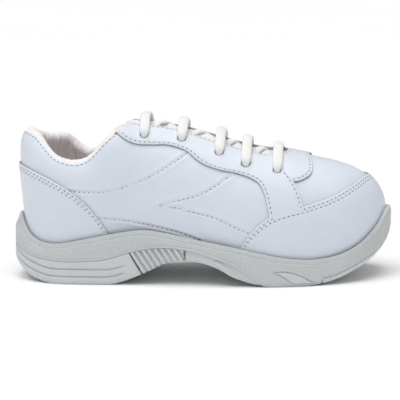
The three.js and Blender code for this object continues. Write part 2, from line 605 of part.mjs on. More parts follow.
// A round rod along a polyline, with its sections turned as little as possible.
function sweep(points, radius, sides = 6) {
  const tangents = points.map((_, i) =>
    points[Math.min(points.length - 1, i + 1)].clone().sub(points[Math.max(0, i - 1)]).normalize());
  let normal = new THREE.Vector3(0, 0, 1).cross(tangents[0]).normalize();
  const rings = points.map((p, i) => {
    normal = normal.clone().addScaledVector(tangents[i], -normal.dot(tangents[i])).normalize();
    const other = tangents[i].clone().cross(normal);
    return Array.from({ length: sides }, (_, k) => {
      const angle = (k / sides) * 2 * Math.PI;
      return p.clone().addScaledVector(normal, radius * Math.cos(angle)).addScaledVector(other, radius * Math.sin(angle));
    });
  });
  const positions = [...rings.flat(), points[0], points[points.length - 1]];
  const faces = [];
  const [first, last] = [positions.length - 2, positions.length - 1];
  for (let i = 0; i < rings.length - 1; i++)
    for (let k = 0; k < sides; k++) {
      const [a, b] = [i * sides + k, i * sides + ((k + 1) % sides)];
      faces.push(a, b, b + sides, a, b + sides, a + sides);
    }
  for (let k = 0; k < sides; k++) {
    const end = (rings.length - 1) * sides;
    faces.push(first, (k + 1) % sides, k, last, end + k, end + ((k + 1) % sides));
  }
  const geometry = new THREE.BufferGeometry().setFromPoints(positions);
  geometry.setIndex(faces);
  const solid = toSolid(geometry);
  if (solid.volume() >= 0) return solid;
  for (let k = 0; k < faces.length; k += 3) [faces[k], faces[k + 1]] = [faces[k + 1], faces[k]];
  geometry.setIndex(faces);
  return toSolid(geometry);
}

// ---- The assembly -----------------------------------------------------------------
const assembly = new THREE.Group();
const COLOURS = {
  leather: 0xf2f3f5, lining: 0xd8cdcd, midsole: 0xc9c6c4, outsole: 0xd9dadd, lace: 0xffffff, foam: 0xe8d9a8,
  board: 0xb59b78, stiffener: 0x8f8f95, steel: 0x9aa0a6, aglet: 0xeeeeee,
};

function place(name, solid, colour) {
  const mesh = new THREE.Mesh(toGeometry(solid), new THREE.MeshStandardMaterial({ color: COLOURS[colour] }));
  mesh.name = name;
  assembly.add(mesh);
}

function placeUpper() {
  const overlays = layer(GAP + OVERLAY, GAP).subtract(THROAT_CUT).subtract(LACE_HOLES);
  place("toe_cap", overlays.intersect(sidePrism([...TOE_CAP_EDGE, [140, 66], [140, 0], [24, 0]])), "leather");
  place("heel_foxing", overlays.intersect(sidePrism([...FOXING_EDGE, [-130, 10]])), "leather");
  const facing = sidePrism([...FACING_LOWER_EDGE, [56, 48.2], [67.4, 50.4], ...FACING_FRONT_EDGE, [55, 120], [-54, 120]]);
  const capGap = sidePrism([...TOE_CAP_EDGE.map(([x, z]) => [x, z + 0.4]), [140, 66], [140, 0], [24, 0]]);
  const facings = overlays.intersect(facing).subtract(capGap);
  place("eyestay_lateral", facings.intersect(OUTER_HALF), "leather");
  place("eyestay_medial", facings.intersect(INNER_HALF), "leather");
  const patch = [...PATCH_EDGE, [59, 69.3], [55.6, 72.4]];
  place("throat_patch", overlays.intersect(sidePrism(patch)), "leather");

  const base = layer(0, -LEATHER).subtract(THROAT_CUT).subtract(LACE_HOLES);
  const rear = sidePrism([...VAMP_SEAM.map(([x, z]) => [x - GAP, z]), [-150, 5], [-150, 130], [58 - GAP, 130]]);
  const front = sidePrism([...VAMP_SEAM, [150, 5], [150, 130], [58, 130]]);
  place("quarter_lateral", base.intersect(rear).intersect(OUTER_HALF), "leather");
  place("quarter_medial", base.intersect(rear).intersect(INNER_HALF), "leather");
  place("vamp", base.intersect(front), "leather");
}

function placeStiffeners() {
  const stiff = layer(-LEATHER - GAP, -LEATHER - GAP - STIFFENER).subtract(THROAT_CUT).subtract(LACE_HOLES);
  const counter = FOXING_EDGE.slice(1).map(([x, z]) => [x - 4, Math.min(z - 7, 61)]);
  place("heel_counter", stiff.intersect(sidePrism([[-140, 61], ...counter, [-140, 6]])), "stiffener");
  place("toe_puff", stiff.intersect(sidePrism([[88, 5], [78, 90], [140, 90], [140, 5]])), "stiffener");
  const stay = sidePrism([
    [-39, 98], [-34, 92.5], [-28, 90.5], [-16, 90], [-4, 85.5], [6, 78.5], [24, 73.5], [40, 67.5], [52, 62], [52, 120],
    [-39, 120],
  ]);
  const stays = stiff.intersect(stay);
  place("eyestay_backer_lateral", stays.intersect(OUTER_HALF), "stiffener");
  place("eyestay_backer_medial", stays.intersect(INNER_HALF), "stiffener");
  const foam = collarFoamHalf("outer").add(collarFoamHalf("inner")).subtract(THROAT_CUT)
    .subtract(box(LINING_SEAM - 2, 0, -80, 80, 0, 140));
  place("collar_foam", foam, "foam");
  const collar = collarLiningHalf("outer").add(collarLiningHalf("inner")).subtract(THROAT_CUT);
  place("quarter_lining", collar.subtract(box(LINING_SEAM, 0, -80, 80, 0, 140)), "lining");
  const front = layer(LINING_OUT, LINING_OUT - LINING, 3.8).subtract(THROAT_CUT).subtract(LACE_HOLES);
  place("vamp_lining", front.subtract(box(-80, LINING_SEAM + GAP, -80, 80, 0, 140)), "lining");
}

function placeSole() {
  place("midsole", midsole(), "midsole");
  place("outsole_heel", heelBlock(), "outsole");
  place("outsole_forefoot", outsoleForefoot(), "outsole");
  place("arch_ribs_lateral", ribPanel(OUTER_HALF), "outsole");
  place("arch_ribs_medial", ribPanel(INNER_HALF), "outsole");
  place("forefoot_flare_lateral", flamePanel(OUTER_HALF), "outsole");
  place("forefoot_flare_medial", flamePanel(INNER_HALF), "outsole");
  const crescents = body.subtract(soleBlock(1.4, 8)).intersect(sidePrism(CRESCENT));
  place("forefoot_crescent_lateral", crescents.intersect(OUTER_HALF), "outsole");
  place("forefoot_crescent_medial", crescents.intersect(INNER_HALF), "outsole");
  place("shank", shank(0), "steel");
  place("insole_board", footBoard(4.7, 0, -0.4, BOARD - 0.4, 0, 10), "board");
  place("sockliner", footBoard(7, 0.1, BOARD - 0.4 + GAP, BOARD - 0.4 + GAP + SOCKLINER, 0, 10), "lining");
}

function placeTongue() {
  const foamTop = TONGUE_SKIN + GAP;
  const liningTop = foamTop + TONGUE_FOAM + 2 * GAP;
  place("tongue_face", tongueLayer(0, TONGUE_SKIN), "lining");
  place("tongue_foam", tongueLayer(foamTop, foamTop + TONGUE_FOAM), "foam");
  place("tongue_lining", tongueLayer(liningTop, liningTop + TONGUE_SKIN), "lining");
}

function placeLace() {
  const route = laceRoute();
  place("lace", sweep(route, LACE), "lace");
  const aglet = (end, next) => {
    const direction = end.clone().sub(next).normalize();
    const start = end.clone().addScaledVector(direction, GAP);
    return rodBetween(start, start.clone().addScaledVector(direction, AGLET), LACE, 10);
  };
  place("aglet_start", aglet(route[0], route[1]), "aglet");
  place("aglet_end", aglet(route[route.length - 1], route[route.length - 2]), "aglet");
}

placeUpper();
placeStiffeners();
placeSole();
placeTongue();
placeLace();

export default assembly;
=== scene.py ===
"""The looks of a low-cut lace-up cheer shoe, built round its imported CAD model."""
import math

import bmesh
import bpy
import numpy as np
from mathutils import Matrix, Vector


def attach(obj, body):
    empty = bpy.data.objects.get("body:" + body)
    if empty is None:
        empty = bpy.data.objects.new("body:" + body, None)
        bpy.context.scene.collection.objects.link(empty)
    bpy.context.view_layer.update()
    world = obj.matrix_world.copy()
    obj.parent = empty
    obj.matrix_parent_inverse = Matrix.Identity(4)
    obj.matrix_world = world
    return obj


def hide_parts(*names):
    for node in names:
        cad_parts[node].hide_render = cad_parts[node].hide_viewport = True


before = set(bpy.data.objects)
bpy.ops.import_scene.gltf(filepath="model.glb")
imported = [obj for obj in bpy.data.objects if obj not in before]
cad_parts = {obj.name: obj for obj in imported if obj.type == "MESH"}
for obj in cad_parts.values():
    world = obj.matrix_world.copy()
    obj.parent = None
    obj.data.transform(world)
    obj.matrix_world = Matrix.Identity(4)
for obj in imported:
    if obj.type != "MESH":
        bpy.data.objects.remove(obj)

bl_info = {
    "name": "Cheer shoe looks",
    "version": (1, 0, 0),
    "blender": (4, 5, 0),
    "location": "View3D > Sidebar > Shoe",
    "description": "Builds the upper, lining, tongue, lace and sole of a cheer shoe round its CAD frame",
    "category": "Object",
}

MM = 0.001
BODY = "shoe"
TONGUE_BODY = "tongue"

# ---- The last, in millimetres -------------------------------------------------
# Rows of a closed loop of 20 stations. 0 is the middle of the heel, 1 to 9 run along the outer side, 10 is the tip
# of the toe and 11 to 19 run along the inner side. Each station is a cubic Bezier from the feather line to the top.
OUTER = {
    "feather": [
        (-113, 0, 23), (-107, -17, 23), (-90, -27, 22), (-68, -28.5, 22), (-46, -29, 22), (-22, -31, 22),
        (5, -34.5, 19.5), (36, -37.5, 13), (68, -35, 11.5), (99, -22, 16.5), (115, 3, 25),
    ],
    "wall": [
        (-112.5, 0, 50), (-108.5, -20, 48), (-91, -32, 44), (-68, -34.5, 42), (-46, -36, 50), (-22, -39, 54),
        (5, -43, 50), (37, -46, 42), (70, -43, 38), (106, -32, 42), (127, 3, 50),
    ],
    "shoulder": [
        (-121, 0, 86), (-112, -20, 82), (-90, -32, 70), (-71, -35, 66.5), (-51, -33, 84), (-28, -28, 100),
        (3, -28, 94), (35, -31, 84), (65, -31, 80), (96, -21, 73), (111, 3, 68),
    ],
    "top": [
        (-113, 0, 95.5), (-104.5, -11, 92.5), (-90, -24, 79.8), (-72, -26, 78.3), (-53, -23, 95.2),
        (-30, 0, 103), (2, 0, 95.5), (34, 0.5, 86), (63, 1.5, 79.2), (84, 2, 74.6), (93, 3, 71.8),
    ],
}
INNER = {  # stations 1 to 9
    "feather": [
        (-107, 16.5, 23), (-90, 26, 22), (-68, 25, 22), (-46, 24, 22), (-22, 25, 22), (5, 32, 19.5),
        (36, 38, 13), (69, 36, 11.5), (100, 25, 16.5),
    ],
    "wall": [
        (-108.5, 19.5, 48), (-91, 31, 46), (-68, 31, 44), (-46, 31, 50), (-22, 34, 52), (5, 41, 48),
        (37, 46, 42), (71, 44, 38), (108, 34, 42),
    ],
    "shoulder": [
        (-112, 21, 82), (-88, 32, 76), (-71, 34, 68), (-50, 32, 84), (-28, 27, 100), (3, 28, 94),
        (35, 31, 84), (65, 32, 80), (97, 25, 73),
    ],
    "top": [
        (-102.5, 14, 91), (-88, 24, 88), (-72, 27, 78.2), (-53, 23, 93.5), (-30, 0, 103), (2, 0, 95.5),
        (34, 0.5, 86), (63, 1.5, 79.2), (84, 2, 74.6),
    ],
}
LOOP = 20  # stations round the last
TOE = 10
ROWS = np.array([OUTER[k] + INNER[k][::-1] for k in ("feather", "wall", "shoulder", "top")], float)


def last(w, v):
    """The last's surface at station w round the loop and share v from the feather line to the top."""
    w, v = np.broadcast_arrays(np.asarray(w, float), np.asarray(v, float))
    i = np.floor(w).astype(int)
    t = (w - i)[..., None]
    a, b, c, d = (ROWS[:, (i + k) % LOOP] for k in (-1, 0, 1, 2))
    slope0, slope1, rise = (c - a) / 2, (d - b) / 2, c - b
    p = b + t * (slope0 + t * (3 * rise - 2 * slope0 - slope1 + t * (slope0 + slope1 - 2 * rise)))
    v = v[..., None]
    s = 1 - v
    return s**3 * p[0] + 3 * s * s * v * p[1] + 3 * s * v * v * p[2] + v**3 * p[3]


def unit(a):
    return a / np.maximum(np.linalg.norm(a, axis=-1, keepdims=True), 1e-12)


def side_normal(w, v):
    e = 0.01
    v = np.minimum(v, 0.985)
    du = last(w + e, v) - last(w - e, v)
    dv = last(w, v + e) - last(w, np.maximum(v - e, 0))
    return unit(np.cross(du, dv))


def normal(w, v):
    """The outward normal. Near the ridge, past the collar, the two sides' normals run into one."""
    w, v = np.broadcast_arrays(np.asarray(w, float), np.asarray(v, float))
    own = side_normal(w, v)
    other = side_normal(LOOP - w, v)
    near = np.clip((v - 0.93) / 0.07, 0, 1) ** 2
    past = np.clip((5.2 - np.abs(((w + TOE) % LOOP) - TOE)) / 0.6, 0, 1)  # 1 in the collar, 0 past it
    share = (0.5 * near * (1 - past))[..., None]
    return unit(own * (1 - share) + other * share)


def off(w, v, d):
    return last(w, v) + normal(w, v) * np.asarray(d, float)[..., None]


def smooth(a, b, x):
    t = np.clip((np.asarray(x, float) - a) / (b - a), 0, 1)
    return t * t * (3 - 2 * t)


# ---- Lines on the surface -------------------------------------------------------
def spline_rows(p, each):
    """A Catmull-Rom line through rows of values, in so many steps from one row to the next."""
    p = np.vstack([2 * p[0] - p[1], p, 2 * p[-1] - p[-2]])
    t = np.linspace(0, 1, each, endpoint=False)[:, None]
    fine = []
    for i in range(1, len(p) - 2):
        slope0, slope1, rise = (p[i + 1] - p[i - 1]) / 2, (p[i + 2] - p[i]) / 2, p[i + 1] - p[i]
        bend = 3 * rise - 2 * slope0 - slope1 + t * (slope0 + slope1 - 2 * rise)
        fine.append(p[i] + t * (slope0 + t * bend))
    return np.vstack([*fine, p[-2][None]])


def spline(points, count):
    """count points evenly along a smooth line through the given ones."""
    return even(spline_rows(np.array(points, float), 24), count)


def lengths(p):
    return np.concatenate([[0], np.cumsum(np.linalg.norm(np.diff(p, axis=0), axis=1))])


def even(p, count):
    s = lengths(p)
    at = np.linspace(0, s[-1], count)
    return np.stack([np.interp(at, s, p[:, k]) for k in range(p.shape[1])], 1)


def find(xz, inner=False):
    """The stations and shares whose side view is at the given [x, z]."""
    xz = np.array(xz, float)
    w0 = np.linspace(0, TOE, 121)
    if inner:
        w0 = LOOP - w0
    grid_w, grid_v = np.meshgrid(w0, np.linspace(0, 1, 61), indexing="ij")
    flat = last(grid_w, grid_v)[..., [0, 2]].reshape(-1, 2)
    k = np.argmin(((flat[None] - xz[:, None]) ** 2).sum(-1), axis=1)
    w, v = grid_w.ravel()[k].copy(), grid_v.ravel()[k].copy()
    low, high = (TOE, LOOP) if inner else (0, TOE)
    for _ in range(12):
        e = 1e-3
        here = last(w, v)[:, [0, 2]]
        jw = (last(w + e, v)[:, [0, 2]] - here) / e
        jv = (last(w, v + e)[:, [0, 2]] - here) / e
        r = xz - here
        det = jw[:, 0] * jv[:, 1] - jw[:, 1] * jv[:, 0]
        det = np.where(np.abs(det) < 1e-3, 1e-3, det)
        dw = (r[:, 0] * jv[:, 1] - r[:, 1] * jv[:, 0]) / det
        dv = (jw[:, 0] * r[:, 1] - jw[:, 1] * r[:, 0]) / det
        w = np.clip(w + np.clip(dw, -0.3, 0.3), low, high)
        v = np.clip(v + np.clip(dv, -0.1, 0.1), 0, 1)
    return np.stack([w, v], 1)


THROAT = 14.5  # half width of the throat at its front
THROAT_REAR = 12.0  # and at its back
THROAT_START = -62.0
THROAT_END = 57.0  # its round front end


def throat_half(x):
    back = THROAT_END - THROAT
    past = np.maximum(x - back, 0)
    taper = (THROAT - THROAT_REAR) * np.clip((14 - x) / 24, 0, 1)
    return (np.sqrt(np.maximum(THROAT**2 - past**2, 0)) - taper) * (x < THROAT_END) * (x > THROAT_START)


def edge_share(w):
    """The share at which the leather ends: the collar's edge, the throat's edge or the ridge."""
    w = np.asarray(w, float)
    low, high = np.full(w.shape, 0.5), np.full(w.shape, 1.0)
    top = last(w, high)
    open_top = np.abs(top[..., 1]) < throat_half(top[..., 0])
    for _ in range(30):
        middle = (low + high) / 2
        p = last(w, middle)
        outside = np.abs(p[..., 1]) >= throat_half(p[..., 0])
        low = np.where(outside, middle, low)
        high = np.where(outside, high, middle)
    return np.where(open_top, low, 1.0)


# ---- Meshes -----------------------------------------------------------------------
def sheet_mesh(name, p, facing=None, closed=False, capped=False, uv=None):
    """A grid made by the grid operator and laid on rows and columns of points in millimetres.

    facing is the way its outer side looks, one direction for each point. closed joins the last column to the
    first, and capped fills the two ends of such a tube.
    """
    rows, columns = p.shape[:2]
    if closed:
        p = np.concatenate([p, p[:, :1]], 1)
        columns += 1
        if facing is not None:
            facing = np.concatenate([facing, facing[:, :1]], 1)
    work = bmesh.new()
    bmesh.ops.create_grid(work, x_segments=columns - 1, y_segments=rows - 1, size=1)
    mesh = bpy.data.meshes.new(name)
    work.to_mesh(mesh)
    work.free()
    place = (p.reshape(-1, 3) * MM).astype(np.float32)
    mesh.vertices.foreach_set("co", place.ravel())
    layer = mesh.uv_layers.new(name="cloth")
    index = np.zeros(len(mesh.loops), np.int32)
    mesh.loops.foreach_get("vertex_index", index)
    flat_uv = (grid_uv(p) if uv is None else uv).reshape(-1, 2).astype(np.float32)
    layer.data.foreach_set("uv", flat_uv[index].ravel())
    work = bmesh.new()
    work.from_mesh(mesh)
    if closed:
        bmesh.ops.remove_doubles(work, verts=work.verts, dist=0.004 * MM)
    if capped:
        bmesh.ops.holes_fill(work, edges=work.edges, sides=0)
        bmesh.ops.recalc_face_normals(work, faces=work.faces)
    elif facing is not None:
        across, down = np.diff(p, axis=1)[:-1], np.diff(p, axis=0)[:, :-1]
        facing = np.broadcast_to(facing, p.shape)[:-1, :-1]
        if (np.cross(across, down) * facing).sum() < 0:
            bmesh.ops.reverse_faces(work, faces=work.faces)
    work.to_mesh(mesh)
    work.free()
    mesh.polygons.foreach_set("use_smooth", [True] * len(mesh.polygons))
    mesh.update()
    return link_object(name, mesh)


def link_object(name, data):
    obj = bpy.data.objects.new(name, data)
    bpy.context.scene.collection.objects.link(obj)
    return obj


def grid_uv(p):
    """Lengths along a grid's rows and columns, in millimetres."""
    down = np.linalg.norm(np.diff(p, axis=0), axis=2)
    across = np.linalg.norm(np.diff(p, axis=1), axis=2)
    u = np.concatenate([np.zeros((1, p.shape[1])), np.cumsum(down, axis=0)])
    v = np.concatenate([np.zeros((p.shape[0], 1)), np.cumsum(across, axis=1)], 1)
    middle = p.shape[1] // 2
    return np.stack([np.repeat(u[:, middle:middle + 1], p.shape[1], 1), v], -1)


def merge_close(obj, distance=0.02):
    work = bmesh.new()
    work.from_mesh(obj.data)
    bmesh.ops.remove_doubles(work, verts=work.verts, dist=distance * MM)
    work.to_mesh(obj.data)
    work.free()


def finish_piece(obj, material, slot, body, *nodes):
    obj.data.materials.append(material)
    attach(obj, body)
    if nodes:
        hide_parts(*nodes)
    return obj


def folded(w):
    return np.abs(((np.asarray(w, float) + TOE) % LOOP) - TOE)


def to_ridge(wv):
    """Stations and shares as a folded station and the share off the ridge, below 0 on the outer side."""
    side = np.where(wv[..., 0] < TOE, -1, 1)
    return np.stack([folded(wv[..., 0]), side * (1 - wv[..., 1])], -1)


def from_ridge(ua):
    w = np.where(ua[..., 1] < 0, ua[..., 0], LOOP - ua[..., 0])
    return np.stack([w, 1 - np.abs(ua[..., 1])], -1)


# ---- Panels of the upper ------------------------------------------------------------
class Panel:
    """A patch of a layer, ruled between two lines of (station, share), with its own edge treatment."""

    def __init__(self, line_a, line_b, across, crowd=0.75, crowd_ends=0.0, over_ridge=False):
        if over_ridge:
            line_a, line_b = to_ridge(line_a), to_ridge(line_b)
        n = len(line_a)
        s = np.linspace(0, 1, n)
        s = s - crowd_ends * np.sin(2 * np.pi * s) / (2 * np.pi)
        pick = lambda line: np.stack([np.interp(s, np.linspace(0, 1, n), line[:, k]) for k in (0, 1)], 1)
        a, b = pick(line_a), pick(line_b)
        u = np.linspace(0, 1, across)
        t = (u - crowd * np.sin(2 * np.pi * u) / (2 * np.pi))[None, :, None]
        self.wv = a[:, None] * (1 - t) + b[:, None] * t
        if over_ridge:
            self.wv = from_ridge(self.wv)
        self.base = last(self.wv[..., 0], self.wv[..., 1])
        self.normals = normal(self.wv[..., 0], self.wv[..., 1])
        along = np.linalg.norm(np.diff(self.base, axis=0), axis=2)
        cross = np.linalg.norm(np.diff(self.base, axis=1), axis=2)
        zero_row, zero_column = np.zeros((1, across)), np.zeros((n, 1))
        self.from_start = np.concatenate([zero_row, np.cumsum(along, 0)])
        self.from_end = self.from_start[-1:] - self.from_start
        self.from_a = np.concatenate([zero_column, np.cumsum(cross, 1)], 1)
        self.from_b = self.from_a[:, -1:] - self.from_a
        self.parts = {"a": self.from_a, "b": self.from_b, "start": self.from_start, "end": self.from_end}

    def distance(self, edges):
        """Distance from the nearest of the named edges, along the grid."""
        found = np.full(self.from_a.shape, 1e3)
        for e in edges:
            found = np.minimum(found, self.parts[e])
        return found

    def points(self, height):
        return self.base + self.normals * height[..., None]

    def line(self, edge, inset, edges, height):
        """Points and normals of the line at an inset from an edge, where no other edge is nearer."""
        take = (lambda g: g) if edge in ("a", "b") else (lambda g: np.swapaxes(g, 0, 1))
        rows = take(self.parts[edge])
        points, directions, clear = take(self.points(height)), take(self.normals), take(self.distance(edges))
        out_p, out_n = [], []
        for k in range(len(rows)):
            d = rows[k]
            order = np.argsort(d)
            if d.max() < inset:
                continue
            pick = lambda values: np.array([np.interp(inset, d[order], values[k][order, c]) for c in range(3)])
            near = np.interp(inset, d[order], clear[k][order])
            if near < inset - 0.25:
                continue
            out_p.append(pick(points))
            out_n.append(pick(directions))
        return np.array(out_p), unit(np.array(out_n)) if out_n else np.array(out_n)


def edge_profile(distance, thickness, radius, drop):
    """Height of a skived edge: up from a drop below the layer, round, and flat at the thickness."""
    t = np.clip(distance / radius, 0, 1)
    rise = np.sqrt(np.maximum(1 - (1 - t) ** 2, 0))
    return np.where(distance <= 1e-6, -drop, thickness * (0.25 + 0.75 * rise))


def stitch_row(p, n, pitch, radius):
    """One row of stitches, each followed by the shadow of its needle hole."""
    work = bmesh.new()
    s = lengths(p)
    count = int(s[-1] // pitch)
    start = (s[-1] - count * pitch) / 2
    at = lambda x, g: np.array([np.interp(x, s, g[:, k]) for k in range(3)])

    def bead(x, lift, sizes, rings):
        tangent = unit(at(x + 0.6, p) - at(x - 0.6, p))
        up = unit(at(x, n) - tangent * np.dot(at(x, n), tangent))
        place = Matrix.Identity(4)
        for k, axis in enumerate((np.cross(up, tangent), up, tangent)):
            place.col[k] = Vector((*(axis * sizes[k] * MM), 0))
        place.col[3] = Vector((*((at(x, p) + up * lift) * MM), 1))
        made = bmesh.ops.create_uvsphere(work, u_segments=6, v_segments=rings, radius=1, matrix=place)
        return made["verts"]

    for i in range(count):
        bead(start + (i + 0.5) * pitch, 0.06, (radius, radius * 1.1, pitch * 0.36), 4)
        hole = bead(start + (i + 1) * pitch, 0.02, (radius * 1.2, 0.2, pitch * 0.2), 3)
        for face in {face for v in hole for face in v.link_faces}:
            face.material_index = 1
    return work


def build_stitches(name, lines, settings, looks):
    """Threads that sink at both ends, along lines of points and normals."""
    pitch, radius = settings.stitch_pitch / MM, settings.thread_radius / MM
    mesh = bpy.data.meshes.new(name)
    work = bmesh.new()
    for p, n in lines:
        if len(p) > 2:
            row = stitch_row(p, n, pitch, radius)
            row.to_mesh(mesh)
            row.free()
            work.from_mesh(mesh)
    bmesh.ops.recalc_face_normals(work, faces=work.faces)
    work.to_mesh(mesh)
    work.free()
    mesh.polygons.foreach_set("use_smooth", [True] * len(mesh.polygons))
    obj = link_object(name, mesh)
    finish_piece(obj, looks["thread"], "upper_leather", BODY)
    mesh.materials.append(looks["needle_hole"])
    return obj


# Side-view outlines [x, z], in millimetres.
TOE_CAP_EDGE = [
    (26, 17), (28, 24), (35, 34.6), (46, 43.6), (56, 47.4), (67, 49.8), (77, 52.4), (87, 55.6), (98, 60.6),
    (104.5, 64),
]
FOXING_EDGE = [
    (-116.6, 75.2), (-111, 73.9), (-104, 71.5), (-90.5, 65.8), (-80.5, 60), (-70.6, 51.7), (-64, 43.8),
    (-59, 36.3), (-56, 30), (-54, 23.5),
]
FACING_LOWER = [
    (-52.6, 96.4), (-51, 95.6), (-45, 91.3), (-38, 88.6), (-28, 88), (-20, 87.9), (-12, 86.1), (-6, 83.4),
    (1, 78), (8, 74.6), (16, 72.2), (24, 70.6), (33, 67.8), (39.5, 64), (43, 57.5), (45.2, 49), (46, 42),
]
FACING_FRONT = [(56.3, 71.4), (58.6, 68.8), (62.2, 63.9), (65.3, 57.9), (67.6, 51), (68.6, 47)]
PATCH_FRONT = [(72.6, 76.2), (73.4, 73), (73.2, 69.4), (70.3, 66.7), (64.4, 64.6), (60, 65)]
GROOVES = [
    [(-82, 60.2), (-74, 59.5), (-61, 59.5), (-48, 62.1), (-31.5, 68), (-18.4, 75.2), (-6, 83.2)],
    [(-23.3, 51), (-8.3, 54.9), (1.5, 57.5), (11.3, 62.7), (22, 69.4)],
    [(-23.3, 51), (-11.5, 49.1), (1.7, 45.9), (11.6, 43.4), (21.4, 38.9), (33, 33.6)],
    [(-63, 42.6), (-47, 41.2), (-28.6, 37.6), (-10.2, 33.2), (2.5, 28.6)],
]
LACE_ROWS = [(51, 0.31), (31, 0.31), (14, 0.28), (-10, 0.25), (-34, 0.23)]  # length and spread of a pair of holes


def over(x, across, d):
    """A point above the last by its length and its share off the ridge, below 0 on the outer side."""
    x, across, d = np.broadcast_arrays(np.asarray(x, float), np.asarray(across, float), np.asarray(d, float))
    low, high = np.full(x.shape, 4.2), np.full(x.shape, 9.6)
    v = 1 - np.abs(across)
    side = across >= 0
    for _ in range(40):
        middle = (low + high) / 2
        w = np.where(side, LOOP - middle, middle)
        below = last(w, v)[..., 0] < x
        low = np.where(below, middle, low)
        high = np.where(below, high, middle)
    w = np.where(side, LOOP - low, low)
    return off(w, v, d)


def hole_distance(points):
    found = np.full(points.shape[:-1], 1e3)
    for x, spread in LACE_ROWS:
        for side in (-1, 1):
            centre = over(x, side * spread, 0)
            found = np.minimum(found, np.linalg.norm(points - centre, axis=-1))
    return found


def line_distance(points, line):
    """Distance of grid points from a polyline's points, which lie close together."""
    flat = points.reshape(-1, 3)
    found = np.full(len(flat), 1e3)
    low, high = line.min(0) - 6, line.max(0) + 6
    near = np.all((flat > low) & (flat < high), axis=1)
    block = flat[near]
    best = np.full(len(block), 1e3)
    for k in range(0, len(line), 64):
        d = np.linalg.norm(block[:, None] - line[None, k:k + 64], axis=2).min(1)
        best = np.minimum(best, d)
    found[near] = best
    return found.reshape(points.shape[:-1])


def groove_lines(inner):
    lines = []
    for outline in GROOVES:
        wv = find(spline(outline, 90), inner)
        lines.append((last(wv[:, 0], wv[:, 1]), normal(wv[:, 0], wv[:, 1])))
    return lines


def build_quarter(name, inner, looks):
    """The base leather of one side, with pressed and stitched lines."""
    w = np.linspace(0, 7.75, 220)
    top = edge_share(LOOP - w if inner else w)
    station = LOOP - w if inner else w
    bottom = np.full_like(w, 0.04)
    panel = Panel(np.stack([station, bottom], 1), np.stack([station, top], 1), 110, 0.5)
    height = np.zeros(panel.from_b.shape)
    rim = np.clip(1 - panel.from_b / 0.8, 0, 1)
    height -= 0.5 * rim**2
    height[:, -1] = -3.0
    lines = groove_lines(inner)
    for points, _ in lines:
        d = line_distance(panel.base, even(points, 260))
        height += 0.28 * np.exp(-((d - 1.7) / 1.1) ** 2) - 0.55 * np.exp(-((d / 0.62) ** 2))
    seam = np.clip(1 - panel.from_start / 1.2, 0, 1)
    height -= 0.7 * seam**2
    pits = 1 - smooth(2.9, 3.7, hole_distance(panel.base))
    height = height * (1 - pits) - 4.2 * pits
    p = panel.points(height)
    obj = sheet_mesh(name, p, panel.normals)
    finish_piece(obj, looks["leather"], "upper_leather", BODY, name)
    threads = [(points - normals * 0.42, normals) for points, normals in lines]
    inset = panel.line("b", 1.5, ["b"], height)
    collar = last(station, 1.0)[:, 0] < -52
    stop = int(collar.sum())
    threads.append((inset[0][:stop], inset[1][:stop]))
    seam_line = panel.line("start", 2.0, ["start"], height)
    threads.append(seam_line)
    return obj, threads


def build_vamp(looks):
    ends = np.linspace(7.75, 8.4, 60)
    w = np.concatenate([ends, np.linspace(8.41, 11.59, 160), np.linspace(11.6, 12.25, 60)])
    panel = Panel(np.stack([w, np.full_like(w, 0.04)], 1), np.stack([w, edge_share(w)], 1), 100, 0.3)
    height = np.zeros(panel.from_b.shape)
    p = panel.points(height)
    obj = sheet_mesh("vamp", p, panel.normals)
    merge_close(obj)
    finish_piece(obj, looks["leather"], "upper_leather", BODY, "vamp")
    return obj, []


OVERLAY = 1.6  # height of the overlays above the base leather
STITCH_INSETS = (2.0, 4.0)  # of an overlay's one or two rows of thread from its edge


def overlay(name, panel, edges, looks, rows=2, holes=False):
    """A stitched overlay with skived edges, and the lines of thread in it."""
    insets = STITCH_INSETS[:rows]
    distance = panel.distance(edges)
    height = edge_profile(distance, OVERLAY, 1.0, 0.5)
    for inset in insets:
        height -= 0.3 * np.exp(-(((distance - inset) / 0.45) ** 2))
    if holes:
        near = hole_distance(panel.base)
        pits = 1 - smooth(2.2, 2.75, near)
        height += 0.15 * np.exp(-(((near - 3.6) / 0.8) ** 2))
        height = height * (1 - pits) - 3.4 * pits
    p = panel.points(height)
    obj = sheet_mesh(name, p, panel.normals)
    finish_piece(obj, looks["leather"], "upper_leather", BODY, name)
    # The faces on the overlay's very edge take a darker grey: partly the cut edge's own colour, partly a painted
    # shadow line under the edge.
    obj.data.materials.append(looks["cut_edge_and_shade"])
    at_edge = (distance <= 1e-6).ravel()
    for face in obj.data.polygons:
        face.material_index = int(any(at_edge[v] for v in face.vertices))
    threads = []
    for inset in insets:
        threads += [panel.line(e, inset, edges, height) for e in edges]
    return obj, threads


def throat_line(inner, to_x=56.0):
    """The throat's edge on one side, from the collar forwards."""
    w = np.linspace(4.30, 8.2, 900)
    station = LOOP - w if inner else w
    share = edge_share(station)
    p = last(station, share)
    keep = (share < 0.9999) & (p[:, 0] < to_x) & (p[:, 0] > -52.4)
    return np.stack([station[keep], share[keep]], 1)


def build_facing(name, inner, looks):
    lower = find(spline(FACING_LOWER, 320), inner)
    top = throat_line(inner)
    front = find(spline(FACING_FRONT, 120), inner)
    path = np.vstack([top, front[2:]])
    upper = even_on_surface(path, 320)
    panel = Panel(upper, lower, 60, 0.6, 0.2)
    return overlay(name, panel, ["a", "b"], looks, rows=1, holes=True)


def even_on_surface(wv, count):
    p = last(wv[:, 0], wv[:, 1])
    s = lengths(p)
    at = np.linspace(0, s[-1], count)
    return np.stack([np.interp(at, s, wv[:, k]) for k in (0, 1)], 1)


